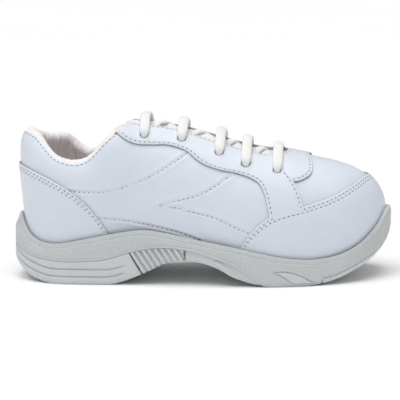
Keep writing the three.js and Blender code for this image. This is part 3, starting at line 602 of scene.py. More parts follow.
def build_toe_cap(looks):
    outer = find(spline(TOE_CAP_EDGE, 200))
    inner = find(spline(TOE_CAP_EDGE, 200), True)
    link_w = np.linspace(outer[-1, 0], inner[-1, 0], 60)[1:-1]
    a, b = outer[-1, 1], inner[-1, 1]
    t = np.linspace(0, 1, 60)[1:-1]
    link_v = a + (b - a) * t + 0.02 * np.sin(np.pi * t)
    upper = np.vstack([outer, np.stack([link_w, link_v], 1), inner[::-1]])
    upper = even_on_surface(upper, 420)
    lower = np.stack([upper[:, 0], np.full(len(upper), 0.03)], 1)
    panel = Panel(upper, lower, 70, 0.55)
    return overlay("toe_cap", panel, ["a"], looks)


def build_foxing(looks):
    outer = find(spline(FOXING_EDGE, 160))
    inner = find(spline(FOXING_EDGE, 160), True)
    inner[:, 0] -= LOOP
    upper = even_on_surface(np.vstack([inner[::-1], outer[1:]]), 360)
    lower = np.stack([upper[:, 0], np.full(len(upper), 0.03)], 1)
    panel = Panel(upper, lower, 64, 0.55)
    return overlay("heel_foxing", panel, ["a"], looks)


def build_patch(looks):
    """The small overlay at the throat's front end."""
    outer = find(spline(PATCH_FRONT, 60))
    inner = find(spline(PATCH_FRONT, 60), True)
    front = from_ridge(resample(to_ridge(np.vstack([outer[::-1], inner])), 160))
    angle = np.linspace(-1.35, 1.35, 160)
    centre = THROAT_END - THROAT
    points = np.stack([centre + (THROAT + 0.4) * np.cos(angle), (THROAT + 0.4) * np.sin(angle)], 1)
    rear = plan_find(points)
    panel = Panel(rear, front, 44, 0.6, over_ridge=True)
    return overlay("throat_patch", panel, ["a", "b"], looks, rows=1)


def resample(line, count):
    """The same line of stations and shares off the ridge, with its points evenly along the surface."""
    wv = from_ridge(line)
    s = lengths(last(wv[:, 0], wv[:, 1]))
    at = np.linspace(0, s[-1], count)
    return np.stack([np.interp(at, s, line[:, k]) for k in (0, 1)], 1)


def plan_find(xy):
    """The stations and shares whose plan view is at the given [x, y], near the ridge."""
    out = []
    for x, y in xy:
        inner = y >= last(8, 1)[1]
        low, high = 0.5, 1.0
        for _ in range(30):
            middle = (low + high) / 2
            w = station_at(x, middle, inner)
            beyond = abs(last(w, middle)[1]) > abs(y)
            low, high = (middle, high) if beyond else (low, middle)
        out.append((station_at(x, low, inner), low))
    return np.array(out)


def station_at(x, v, inner):
    low, high = 4.2, 9.6
    for _ in range(26):
        middle = (low + high) / 2
        w = LOOP - middle if inner else middle
        if last(w, v)[0] < x:
            low = middle
        else:
            high = middle
    return LOOP - low if inner else low


# ---- The padded collar and lining -------------------------------------------------------
COLLAR_PAD = 3.8  # foam at the collar's thickest
LINING_DEPTH = 4.05  # of the lining's inner face below the leather's
COLLAR_FOLD = 0.42  # depth of the gathers inside the ankle


def padding(w, v):
    station = np.abs(((w + TOE) % LOOP) - TOE)
    return COLLAR_PAD * smooth(0.5, 0.92, v) * (1 - 0.75 * smooth(3.6, 4.6, station))


def build_collar_lining(looks):
    """The lining of the heel and ankle, rolled over the padded collar and gathered there."""
    end = 4.62
    w = np.linspace(-end, end, 420)
    shares = np.linspace(0.06, 1, 46)
    grid_w, grid_v = np.meshgrid(w, shares, indexing="ij")
    top = last(w, np.ones_like(w))
    s = lengths(top)
    fold = np.sin(2 * np.pi * s / 7.3) + 0.6 * np.sin(2 * np.pi * s / 4.7 + 2.0)
    folds = COLLAR_FOLD * fold[:, None] * smooth(0.55, 0.95, grid_v)
    wall = off(grid_w, grid_v, -LINING_DEPTH - padding(grid_w, grid_v) + folds)
    n = side_normal(w, np.ones_like(w))
    t = top - last(w, np.full_like(w, 0.97))
    t = unit(t - n * (t * n).sum(1)[:, None])
    inner = -LINING_DEPTH - padding(w, np.ones_like(w))
    outer = -0.25
    angle = np.linspace(0, np.pi, 26)[1:]
    centre = (inner + outer) / 2
    half = (outer - inner) / 2
    gather = 0.16 * np.sin(2 * np.pi * s / 3.3) + 0.12 * np.sin(2 * np.pi * s / 5.1 + 1.0)
    roll = []
    for a in angle:
        lift = (4.4 - 2.4 * smooth(4.1, end, np.abs(w))) * math.sin(a) ** 0.8
        pucker = gather * math.sin(a) ** 2 * (0.4 + 0.6 * (1 - math.cos(a)) / 2)
        sway = COLLAR_FOLD * fold * (0.5 + 0.5 * math.cos(a))
        out = centre - (half + pucker) * math.cos(a) + sway
        roll.append(top + n * out[:, None] + t * (lift + pucker)[:, None])
    roll.append(top + n * -0.3 + t * -1.5)
    p = np.concatenate([wall, np.stack(roll, 1)], 1)
    facing = np.concatenate([-normal(grid_w, grid_v), np.zeros((len(w), len(roll), 3))], 1)
    obj = sheet_mesh("quarter_lining", p, facing)
    return finish_piece(obj, looks["lining"], "lining_fabric", BODY, "quarter_lining", "collar_foam")


def build_vamp_lining(looks):
    w = np.linspace(4.55, 15.45, 300)
    top = edge_share(w)
    t = np.linspace(0, 1, 50)
    share = 0.06 + (top[:, None] - 0.06) * t[None]
    grid_w = np.repeat(w[:, None], 50, 1)
    p = off(grid_w, share, np.full(share.shape, -4.0))
    edge = off(w, top, np.full(w.shape, -2.9))
    p = np.concatenate([p, edge[:, None]], 1)
    facing = -normal(np.repeat(w[:, None], p.shape[1], 1), np.full(p.shape[:2], 0.5))
    obj = sheet_mesh("vamp_lining", p, facing)
    merge_close(obj)
    finish_piece(obj, looks["lining"], "lining_fabric", BODY, "vamp_lining")
    return obj


# ---- The tongue --------------------------------------------------------------------------
TONGUE_FRONT = 62.0  # its stitched end
TONGUE_KNEE = -24.0  # where it leaves the last and runs straight up and back
TONGUE_SET = 8.5  # depth of its face at the edges
TONGUE_CROWN = 4.6  # rise of its padded middle
TONGUE_SINK = 3.2  # what its free end lies deeper
TONGUE_THICK = 7.2


def crown(across):
    return np.maximum(0, 1 - (np.asarray(across) / 0.15) ** 2)


def tongue_reach(x):
    return np.where(x > 50, 0.2 + (63 - x) / 13 * 0.1, np.where(x > -20, 0.35, 0.35 + (x + 20) / 30 * 0.14))


def tongue_point(x, across, depth):
    x, across, depth = np.broadcast_arrays(x, across, depth)
    sink = TONGUE_SINK * (1 - smooth(-46, TONGUE_KNEE, x))
    d = -TONGUE_SET + TONGUE_CROWN * crown(across) * (1 - smooth(46, 58, x)) - sink
    at = np.maximum(x, TONGUE_KNEE)
    down = unit(over(at, across * 0.5, -1.0) - over(at, across * 0.5, 0.0))
    rise = np.array([-1, 0, 0.242])
    return over(at, across, d) + down * depth[..., None] + rise * (at - x)[..., None]


def build_tongue(looks):
    """A closed pad: fabric face, foam and lining in one skin, dented where the lace crosses it."""
    xs = np.linspace(TONGUE_FRONT, -45.5, 150)
    around = 72
    angle = np.linspace(0, 2 * np.pi, around, endpoint=False)
    side = np.cos(angle)
    part = np.sign(side) * np.abs(side) ** 0.55
    level = np.sin(angle)
    deep = np.sign(level) * np.abs(level) ** 0.5
    rings = []
    for x in xs:
        shut = min(1.0, (62.6 - x) / 3.0, (x + 46.4) / 3.6)
        squeeze = math.sqrt(max(shut, 0.02))
        press = sum(math.exp(-(((x - row[0]) / 4.2) ** 2)) for row in LACE_ROWS)
        reach = float(tongue_reach(x)) * (0.9 + 0.1 * squeeze)
        bulge = np.where(level > 0, 1.2 * (1 - press) * (1 - part**2), 0)
        face = 3.0 - deep * TONGUE_THICK * squeeze / 2 - bulge
        rings.append(tongue_point(np.full(around, x), part * reach, face))
    p = np.array(rings)
    obj = sheet_mesh("tongue_pad", p, closed=True, capped=True)
    nodes = ("tongue_face", "tongue_foam", "tongue_lining")
    finish_piece(obj, looks["tongue"], "lining_fabric", TONGUE_BODY, *nodes)
    return obj


# ---- The lace ---------------------------------------------------------------------------
UNDER = -6.6  # depth of the runs under the facings


def dip(across):
    """Depth of a run that crosses over the tongue's padded middle."""
    return UNDER + 4.5 * crown(0.89 * across)


def lace_route():
    """The lace's centre line with, at each point, its width, thickness and the surface's normal."""
    route = []

    def add(point, width, thick, up):
        route.append((np.asarray(point, float), width, thick, np.asarray(up, float)))

    def lane(places):
        for x, across in places:
            p = over(x, across, UNDER)
            add(p, 3.4, 2.4, unit(over(x, across, 1.0) - over(x, across, 0.0)))

    def riser(row, sign, outwards, backwards):
        x, across = row[0], sign * row[1]
        up = unit(over(x, across, 1.0) - over(x, across, 0.0))
        inward = unit(over(x, across * 0.9, 0.0) - over(x, across, 0.0))
        at = lambda d, shift: over(x, across, d) + inward * shift
        low = [(UNDER, 4.2), (UNDER + 0.15, 2.4), (-4.6, 0.4)]
        if outwards:
            low = [(UNDER, -4.4), (UNDER + 0.1, -2.4), (-4.4, -0.3)]
        steps = [(d, s, 3.6, 3.0, up) for d, s in low]
        steps += [(-1.6, 0, 3.9, 3.6, -inward + 0.2 * up), (0.6, 0.0, 4.2, 3.6, -inward + 0.4 * up)]
        steps += [(2.5, 0.7, 5.0, 3.3, up - 0.9 * inward), (3.35, 2.4, 5.9, 3.1, up - 0.2 * inward)]
        steps += [(3.25, 4.6, 6.3, 3.0, up)]
        for d, s, width, thick, n in steps[::-1] if backwards else steps:
            add(at(d, s), width, thick, unit(n))

    def bar(row):
        x = row[0]
        for part in (-0.62, -0.38, -0.16, 0.16, 0.38, 0.62):
            a = part * row[1]
            add(over(x, a, 3.2), 6.4, 3.0, unit(over(x, a, 1.0) - over(x, a, 0.0)))

    def crossing(start, end):
        for part in (0.64, 0.45, 0.23, 0.0, -0.23, -0.45, -0.64):
            a = part * (start if part > 0 else end)[1]
            x = start[0] + (end[0] - start[0]) * (0.84 - part) / 1.68
            add(over(x, a, dip(a)), 5.0, 2.6, unit(over(x, a, 1.0) - over(x, a, 0.0)))

    lane([(8, -0.475), (-4, -0.475), (-15, -0.472), (-21.5, -0.462), (-24, -0.437)])
    lane([(-21.5, -0.412), (-15, -0.402), (0, -0.4), (15, -0.4), (30, -0.4), (42, -0.395)])
    for i, row in enumerate(LACE_ROWS):
        riser(row, -1, i == 0, False)
        bar(row)
        riser(row, 1, i == len(LACE_ROWS) - 1, True)
        if i < len(LACE_ROWS) - 1:
            crossing(row, LACE_ROWS[i + 1])
    lane([(-25, 0.39), (-20, 0.397), (-10, 0.4), (5, 0.4), (20, 0.4)])
    lane([(33, 0.402), (39.5, 0.412), (42, 0.437)])
    lane([(39.5, 0.462), (33, 0.472), (22, 0.475), (10, 0.475)])
    return route


def build_lace(looks, pitch, step=0.5, around=28):
    """The flat braid along its route, with its yarns standing a little proud."""
    route = lace_route()
    data = np.array([[*p, width, thick, *up] for p, width, thick, up in route])
    dense = spline_rows(data, 10)
    s = lengths(dense[:, :3])
    count = int(s[-1] / step)
    at = np.linspace(0, s[-1], count)
    line = np.stack([np.interp(at, s, dense[:, k]) for k in range(dense.shape[1])], 1)
    centre, width, thick, up = line[:, :3], line[:, 3], line[:, 4], line[:, 5:]
    tangent = unit(np.gradient(centre, axis=0))
    side = np.cross(tangent, up)
    for i in range(1, len(side)):
        if np.dot(side[i], side[i - 1]) < 0:
            side[i] *= -1
    kernel = np.ones(9) / 9
    side = np.stack([np.convolve(np.pad(side[:, k], 4, "edge"), kernel, "valid") for k in range(3)], 1)
    side = unit(side - tangent * (side * tangent).sum(1)[:, None])
    above = np.cross(side, tangent)
    angle = np.linspace(0, 2 * np.pi, around, endpoint=False)
    c, sn = np.cos(angle), np.sin(angle)
    flat = np.sign(c) * np.abs(c) ** 0.85
    turn = 2 * np.pi * at / pitch
    braid = np.maximum(np.sin(7 * angle[None] + turn[:, None]), np.sin(7 * angle[None] - turn[:, None]))
    swell = 0.1 * braid
    p = centre[:, None] + side[:, None] * ((width[:, None] / 2 + swell) * flat[None])[..., None]
    p = p + above[:, None] * ((thick[:, None] / 2 + swell) * sn[None])[..., None]
    turns = np.append(angle, 2 * np.pi)
    uv = np.stack(np.meshgrid(at, turns, indexing="ij"), -1)
    obj = sheet_mesh("lace_braid", p, closed=True, capped=True, uv=uv)
    return finish_piece(obj, looks["lace"], "lace_cotton", BODY, "lace")


# ---- The sole --------------------------------------------------------------------------
def profile(pairs):
    """A smooth height profile through [x, z] pairs."""
    x, z = np.array(pairs, float).T
    slope = np.empty_like(z)
    slope[1:-1] = (z[2:] - z[:-2]) / (x[2:] - x[:-2])
    slope[0], slope[-1] = (z[1] - z[0]) / (x[1] - x[0]), (z[-1] - z[-2]) / (x[-1] - x[-2])

    def height(at):
        at = np.clip(np.asarray(at, float), x[0], x[-1])
        k = np.clip(np.searchsorted(x, at, side="right") - 1, 0, len(x) - 2)
        h, rise = x[k + 1] - x[k], z[k + 1] - z[k]
        t = (at - x[k]) / h
        a, b = slope[k], slope[k + 1]
        return z[k] + t * (a * h + t * (3 * rise - h * (2 * a + b) + t * (h * (a + b) - 2 * rise)))

    return height


rim_height = profile([
    (-122, 44), (-119, 42.5), (-115.5, 38), (-110, 31), (-102, 26.8), (-90, 26.1), (-77, 28.4), (-57, 32.3),
    (-35, 35.4), (-21, 33.8), (2, 29.2), (28, 24.2), (48, 19.8), (62, 17.6), (75, 16.8), (90, 18.8), (103, 24),
    (111, 29.8), (117, 36), (121, 42), (123, 44),
])
ground_curve = profile([
    (-124, 22), (-121.5, 14.5), (-117, 9), (-106, 3), (-93, 0), (-58, 0), (-47, 2.5), (-31.6, 8.7), (-19, 14.6),
    (-8, 16), (3, 14.6), (11.3, 12), (21.4, 7), (34, 2.2), (48, 0), (64, 0), (77, 1), (90, 4), (107.5, 12.2),
    (116, 18.4), (121, 25), (124, 36),
])
split_curve = profile([
    (-124, 26), (-117, 20.6), (-107, 17.2), (-90, 15.2), (-70, 15.4), (-57, 17), (-44, 21), (-31, 23.7),
    (-20, 24.4), (-8, 23.4), (2, 21.6), (12, 18), (22, 14.6), (31.5, 9), (43, 0),
])
feather_height = profile([(x, z) for x, _, z in OUTER["feather"]])
flare_of = profile([(0, 3.9), (1.2, 2.8), (3, 2), (8, 1.8), (10, 0.6)])
RIM = 2.4  # wall of the sole's cup at its top edge
TREAD = 3.2  # depth of the forefoot tread plate
GRIP = 1.1  # half width of a groove across a tread
RIB_PITCH = 4.2
RIB_LEAN = 14 / 22  # a rib's run forwards for each millimetre down
RIB_DEPTH = 1.9
FLARE_RELIEF = 1.4  # height of the raised line in the flare panel
SEAM = 0.25  # a panel's edge below the line it meets


def ground_height(x):
    return np.maximum(0, ground_curve(x))


class SoleSide:
    """The sole's outer wall, by station and height."""

    def __init__(self):
        self.w = np.linspace(-TOE, TOE, 1201)
        low, high = np.zeros_like(self.w), np.full_like(self.w, 0.6)
        for _ in range(30):
            middle = (low + high) / 2
            p = off(self.w, middle, np.full_like(self.w, 2 + RIM))
            under = p[:, 2] < rim_height(p[:, 0])
            low, high = np.where(under, middle, low), np.where(under, high, middle)
        self.rim = off(self.w, low, np.full_like(self.w, 2 + RIM))
        n = side_normal(self.w, np.full_like(self.w, 0.15))[:, :2]
        self.out = unit(n)
        self.flare = flare_of(folded(self.w))
        self.ground = ground_height(self.rim[:, 0] + self.out[:, 0] * (self.flare - 1.6))

    def look_up(self, w, values):
        w = ((np.asarray(w, float) + TOE) % LOOP) - TOE
        return np.interp(w, self.w, values)

    def at(self, w, z, inset=0.0):
        w, z, inset = np.broadcast_arrays(*(np.asarray(values, float) for values in (w, z, inset)))
        ground, flare = self.look_up(w, self.ground), self.look_up(w, self.flare)
        rim_z = self.look_up(w, self.rim[:, 2])
        heights = [ground, ground + 2.6, np.maximum(ground + 4, rim_z - 8), rim_z - 2.2, rim_z]
        spreads = [flare - 1.6, flare, 0.85 * flare, np.full_like(flare, 0.8), np.zeros_like(flare)]
        spread = np.zeros_like(flare)
        for shift in (-0.9, -0.3, 0.3, 0.9):
            level = spreads[0].copy()
            for k in range(4):
                step = np.maximum(heights[k + 1] - heights[k], 1e-3)
                level += (spreads[k + 1] - spreads[k]) * np.clip((z + shift - heights[k]) / step, 0, 1)
            spread += level / 4
        reach = spread - inset
        x = self.look_up(w, self.rim[:, 0]) + self.look_up(w, self.out[:, 0]) * reach
        y = self.look_up(w, self.rim[:, 1]) + self.look_up(w, self.out[:, 1]) * reach
        return np.stack([x, y, z + np.zeros_like(x)], -1)

    def out_at(self, w):
        out = np.stack([self.look_up(w, self.out[:, 0]), self.look_up(w, self.out[:, 1])], -1)
        return np.concatenate([out, np.zeros(out.shape[:-1] + (1,))], -1)

    def station(self, x, z, inner):
        x, z = np.broadcast_arrays(np.asarray(x, float), np.asarray(z, float))
        low, high = np.full(x.shape, 0.02), np.full(x.shape, 9.98)
        for _ in range(30):
            middle = (low + high) / 2
            short = self.at(-middle if inner else middle, z)[..., 0] < x
            low, high = np.where(short, middle, low), np.where(short, high, middle)
        return -low if inner else low


def soft_edges(count):
    """Shares from 0 to 1 with the insets that turn a band's two edges in."""
    inner = np.linspace(0, 1, count)
    t = np.concatenate([[0, 0, 0], inner, [1, 1, 1]])
    inset = np.concatenate([[3.0, 0.3, 0.08], np.zeros(count), [0.08, 0.3, 3.0]])
    t[3], t[-4] = 0.012, 0.988
    return t, inset


def side_panel(sole, inner, x_low, x_high, z_low, z_high, rows, columns):
    """Stations, heights and edge insets of a region of the sole's side."""
    t, inset_t = soft_edges(rows)
    s, inset_s = soft_edges(columns)
    s, t = np.meshgrid(s, t)
    z = np.full(s.shape, 10.0)
    for _ in range(12):
        x = x_low(z) + (x_high(z) - x_low(z)) * s
        z = z_low(x) + (z_high(x) - z_low(x)) * t
    return sole.station(x, z, inner), z, x, np.maximum(inset_t[:, None], inset_s[None])


def heel_front(z):
    """Where the heel block ends, by height."""
    return np.interp(z, [-6, 8, 21], [-33, -36.4, -43.6])


def under_split(x):
    return np.maximum(split_curve(x) - SEAM, ground_height(x) + 0.05)


CRESCENT_TOP = profile([(49.9, 9.4), (54, 9.7), (58.7, 9.2), (63, 7.8), (67.2, 5.9), (71, 3.8), (74, 2.1)])
CRESCENT_FOOT = profile([(49.9, 9.3), (52.6, 8.2), (55.9, 6.4), (58.5, 4.4), (61.5, 2.4), (68, 2.2), (74, 2)])


def in_crescent(x, z):
    """How far inside the crescent a point of the side lies, below 0 outside it."""
    ends = np.minimum(x - 49.4, 74.5 - x)
    return np.minimum(np.minimum(z - CRESCENT_FOOT(x), CRESCENT_TOP(x) - z), ends)


def build_midsole(sole, looks):
    w = np.linspace(-TOE, TOE, 861)
    x = sole.at(w, 12.0)[:, 0]
    ground, rim = sole.look_up(w, sole.ground), sole.look_up(w, sole.rim[:, 2])
    toe_strip = smooth(79.2, 80.2, x)
    low = np.where(x < 43, np.maximum(split_curve(x), ground + 0.02), ground + (TREAD + 0.3) * toe_strip)
    arch = smooth(-43, -37, x) * (1 - smooth(40, 43, x))
    base = low + 0.5 + smooth(43, 44, x) * 1.0
    base = base * (1 - arch) + (ground + 0.6) * arch
    shares, insets = soft_edges(40)
    rows, reach = [base, base, low], [4.8, 4.2, 4.2]
    rows += [low + (rim - low) * t for t in shares[1:-1]]
    reach += list(insets[1:-1])
    rows += [rim - 0.25, rim - 6]
    reach += [RIM + 0.3, RIM + 0.6]
    z = np.array(rows)
    inset = np.repeat(np.array(reach)[:, None], len(w), 1)
    span = np.broadcast_to(x, z.shape)
    p = sole.at(w[None], z, inset)
    side = (inset < 0.6)[..., None]
    dent = 1.0 * smooth(-0.7, 0.1, in_crescent(p[..., 0], z)) * (np.abs(span - 60) < 15)
    lip = 0.35 * np.exp(-(((rim[None] - z - 2.9) / 0.5) ** 2))
    line = 0.3 * np.exp(-(((z - low[None] - 1.4) / 0.4) ** 2)) * (1 - smooth(38, 42, span))
    p = p - sole.out_at(np.broadcast_to(w, z.shape)) * ((dent + lip + line)[..., None] * side)
    facing = sole.out_at(np.broadcast_to(w[:-1], z[:, :-1].shape))
    obj = sheet_mesh("midsole_wall", p[:, :-1], facing, closed=True)
    finish_piece(obj, looks["midsole"], "midsole_rubber", BODY, "midsole")
    u = np.linspace(0.0, TOE, 200)
    outer, inner = sole.at(u, np.interp(u, w, base), 4.7), sole.at(-u, np.interp(-u, w, base), 4.7)
    t = np.linspace(0, 1, 24)[None, :, None]
    floor = outer[:, None] * (1 - t) + inner[:, None] * t
    under = sheet_mesh("midsole_base", floor, (0, 0, -1))
    finish_piece(under, looks["midsole"], "midsole_rubber", BODY)
    return obj


def build_heel(sole, settings, looks):
    """The heel block with two lines let in round it and a grooved tread."""
    t, inset = soft_edges(44)
    ends = np.concatenate([[3.0, 0.5, 0.14], np.zeros(254), [0.14, 0.5, 3.0]])
    share = np.concatenate([[0, 0, 0], np.linspace(0, 1, 254), [1, 1, 1]])
    w = np.zeros((len(t), len(share)))
    z = np.zeros_like(w)
    for i, height in enumerate(t):
        limit = []
        for inner in (False, True):
            low, high = 1.0, 6.0
            for _ in range(26):
                middle = (low + high) / 2
                station = -middle if inner else middle
                x = sole.at(station, 10.0)[0]
                foot = sole.look_up(station, sole.ground)
                level = foot + (under_split(x) - foot) * height
                low, high = (middle, high) if x < heel_front(level) else (low, middle)
            limit.append(low)
        w[i] = -limit[1] + (limit[0] + limit[1]) * share
        x = sole.at(w[i], 10.0)[:, 0]
        foot = sole.look_up(w[i], sole.ground)
        z[i] = foot + (under_split(x) - foot) * height
    turned = np.maximum(inset[:, None], ends[None])
    p = sole.at(w, z, turned)
    foot = sole.look_up(w, sole.ground)
    fade = 1 - smooth(-49, -45.5, p[..., 0])
    cut = np.zeros_like(z)
    for lift in (5.2, 10.0):
        cut += np.exp(-(((z - foot - lift) / 0.62) ** 4))
    groove = settings.groove_depth / MM
    p = p - sole.out_at(w) * (groove * cut * fade * (turned < 0.4))[..., None]
    obj = sheet_mesh("heel_block", p, sole.out_at(w))
    finish_piece(obj, looks["outsole"], "outsole_rubber", BODY, "outsole_heel")
    u = np.linspace(0, 1, 190)[:, None]
    stations = u * w[0, -1] * np.ones((1, 2)) * [1, w[0, 0] / w[0, -1]]
    outer = sole.at(stations[:, 0], sole.look_up(stations[:, 0], sole.ground), 0.5)
    medial = sole.at(stations[:, 1], sole.look_up(stations[:, 1], sole.ground), 0.5)
    across = np.linspace(0, 1, 40)[None, :, None]
    floor = outer[:, None] * (1 - across) + medial[:, None] * across
    bars = sum(np.exp(-(((floor[..., 0] - x - 1.2) / GRIP) ** 4)) for x in range(-98, -46, 10))
    middle = 1 - smooth(19, 22, np.abs(floor[..., 1]))
    floor[..., 2] += 1.8 * bars * middle
    tread = sheet_mesh("heel_tread", floor, (0, 0, -1))
    finish_piece(tread, looks["outsole"], "outsole_rubber", BODY)
    return obj


def side_piece(kind, inner, p, facing, looks):
    """One of the pair of outsole pieces let into the two sides."""
    name = kind + ("medial" if inner else "lateral")
    obj = sheet_mesh(name, p, facing)
    return finish_piece(obj, looks["outsole"], "outsole_rubber", BODY, name)


def build_ribs(sole, inner, looks):
    """The arch's slanting ribs."""
    w, z, x, inset = side_panel(
        sole, inner, lambda z: heel_front(z) + 0.6, lambda z: np.full_like(z, -8.2),
        lambda x: ground_height(x) + 0.05, under_split, 30, 240)
    phase = (x + 44.85 - (26 - z) * RIB_LEAN) / RIB_PITCH
    near = np.abs(phase - np.round(phase)) * RIB_PITCH
    valley = smooth(0.75, 1.7, near)
    p = sole.at(w, z, inset) - sole.out_at(w) * (RIB_DEPTH * valley * (inset < 0.4))[..., None]
    return side_piece("arch_ribs_", inner, p, sole.out_at(w), looks)


def build_flare(sole, inner, looks):
    """The panel that tapers forward from the arch, with a raised line running down it."""
    w, z, x, inset = side_panel(
        sole, inner, lambda z: np.full_like(z, -7.6), lambda z: np.full_like(z, 41.2),
        lambda x: ground_height(x) + 0.05, under_split, 30, 170)
    ridge = even(np.array([(12.6, 15.2), (15, 13.9), (20.5, 8.9), (26.5, 3.2), (31, -1.5)]), 60)
    side_xz = np.stack([x, z], -1)
    near = np.linalg.norm(side_xz[..., None, :] - ridge, axis=-1).min(-1)
    raised = -FLARE_RELIEF * smooth(0.5, 2.2, near)
    p = sole.at(w, z, inset) + sole.out_at(w) * (raised * (inset < 0.4))[..., None]
    return side_piece("forefoot_flare_", inner, p, sole.out_at(w), looks)


def build_crescent(sole, inner, looks):
    """The crescent of harder rubber let into the forefoot's side."""
    w, z, x, inset = side_panel(
        sole, inner, lambda z: np.full_like(z, 50.2), lambda z: np.full_like(z, 73.7),
        CRESCENT_FOOT, lambda x: np.maximum(CRESCENT_TOP(x), CRESCENT_FOOT(x) + 0.1), 14, 80)
    p = sole.at(w, z, np.minimum(inset, 1.3)) + sole.out_at(w) * (0.1 * (inset < 0.4))[..., None]
    return side_piece("forefoot_crescent_", inner, p, sole.out_at(w), looks)


def build_forefoot(sole, looks):
    """The forefoot tread, which comes out round the toe as a strip."""
    start = [sole.station(80.0, 8.0, inner) for inner in (False, True)]
    w = np.concatenate([np.linspace(start[0], TOE, 150), np.linspace(-TOE, start[1], 150)[1:]])
    foot = sole.look_up(w, sole.ground)
    t, inset = soft_edges(16)
    z = foot[None] + TREAD * t[:, None]
    p = sole.at(w[None], z, inset[:, None])
    strip = sheet_mesh("toe_strip", p, sole.out_at(np.broadcast_to(w, z.shape)))
    finish_piece(strip, looks["outsole"], "outsole_rubber", BODY, "outsole_forefoot")
    reach = lambda w: 4.8 - 4.3 * smooth(79.4, 80.4, sole.at(w, 8.0)[:, 0])
    edges = []
    for inner in (False, True):
        way = -1 if inner else 1
        u = way * np.linspace(way * float(sole.station(44.0, 2.0, inner)), TOE, 260)
        edges.append(sole.at(u, sole.look_up(u, sole.ground), reach(u)))
    across = np.linspace(0, 1, 60)[None, :, None]
    floor = edges[0][:, None] * (1 - across) + edges[1][:, None] * across
    bars = sum(np.exp(-(((floor[..., 0] - x - 1.2) / GRIP) ** 4)) for x in range(50, 104, 9))
    floor[..., 2] += 1.6 * bars * (1 - smooth(23, 26, np.abs(floor[..., 1])))
    tread = sheet_mesh("forefoot_tread", floor, (0, 0, -1))
    finish_piece(tread, looks["outsole"], "outsole_rubber", BODY)
    return strip


def build_sockliner(looks):
    """The foam sockliner as a closed pad, a little dished."""
    u = np.concatenate([[0.02], np.linspace(0.2, 9.8, 150), [9.98]])
    share, depth = np.full_like(u, 0.1), np.full_like(u, -7.0)
    outer, inner = off(u, share, depth), off(LOOP - u, share, depth)
    around = 48
    angle = np.linspace(0, 2 * np.pi, around, endpoint=False)
    share = 0.5 + 0.5 * np.sign(np.cos(angle)) * np.abs(np.cos(angle)) ** 0.5
    level = np.sign(np.sin(angle)) * np.abs(np.sin(angle)) ** 0.5
    p = outer[:, None] * (1 - share)[None, :, None] + inner[:, None] * share[None, :, None]
    dish = 0.5 * (1 - (2 * share - 1) ** 2) * (level > 0)
    p[..., 2] = feather_height(p[..., 0]) + 3.95 + 1.95 * level[None] - dish[None]
    obj = sheet_mesh("sockliner_pad", p, closed=True, capped=True)
    finish_piece(obj, looks["lining"], "lining_fabric", BODY, "sockliner")
    return obj


def build_aglet(name, end, before, looks):
    """A lace tip: a clear plastic sleeve, pinched a little towards its end."""
    direction = unit(end - before)
    start = end + direction * 0.3
    side = unit(np.cross(direction, (0, 0, 1)))
    up = np.cross(side, direction)
    marks = np.array([0, 0.15, 0.5, 2, 8, 14, 15.5, 15.9, 16.0])
    sizes = np.array([0.9, 1.35, 1.48, 1.5, 1.42, 1.34, 1.25, 1.0, 0.5])
    angle = np.linspace(0, 2 * np.pi, 24, endpoint=False)
    ring = np.cos(angle)[:, None] * side + np.sin(angle)[:, None] * up
    p = start + marks[:, None, None] * direction + sizes[:, None, None] * ring[None]
    obj = sheet_mesh(name + "_sleeve", p, closed=True, capped=True)
    return finish_piece(obj, looks["aglet"], "aglet", BODY, name)


# ---- Materials ------------------------------------------------------------------------
def linear(code):
    """A linear colour from an sRGB hex value."""
    parts = [int(code[i:i + 2], 16) / 255 for i in (1, 3, 5)]
    return tuple(c / 12.92 if c <= 0.04045 else ((c + 0.055) / 1.055) ** 2.4 for c in parts)


def add(tree, kind, inputs=None, **settings):
    """A node with its settings. Each input takes a value or another node's socket."""
    made = tree.nodes.new(kind)
    for key, value in settings.items():
        setattr(made, key, value)
    for key, value in (inputs or {}).items():
        socket = made.inputs[key]
        if isinstance(value, bpy.types.NodeSocket):
            tree.links.new(value, socket)
        else:
            socket.default_value = value
    return made


def per_mm(size):
    """A texture's scale for features of a size in millimetres, on coordinates in metres."""
    return 1000 / size


def start_material(name, **sockets):
    material = bpy.data.materials.new(name)
    material.use_nodes = True
    tree = material.node_tree
    shader = tree.nodes["Principled BSDF"]
    for key, value in sockets.items():
        shader.inputs[key.replace("_", " ")].default_value = value
    place = add(tree, "ShaderNodeTexCoord").outputs["Object"]
    return material, tree, shader, place


def tint(tree, factor, dark, light):
    """A colour between two linear ones."""
    mix = add(tree, "ShaderNodeMix", {0: factor, 6: (*dark, 1), 7: (*light, 1)}, data_type="RGBA")
    return mix.outputs[2]


def relief(tree, height, strength, distance, under=None):
    inputs = {"Height": height, "Strength": strength, "Distance": distance * MM}
    if under is not None:
        inputs["Normal"] = under
    return add(tree, "ShaderNodeBump", inputs).outputs["Normal"]


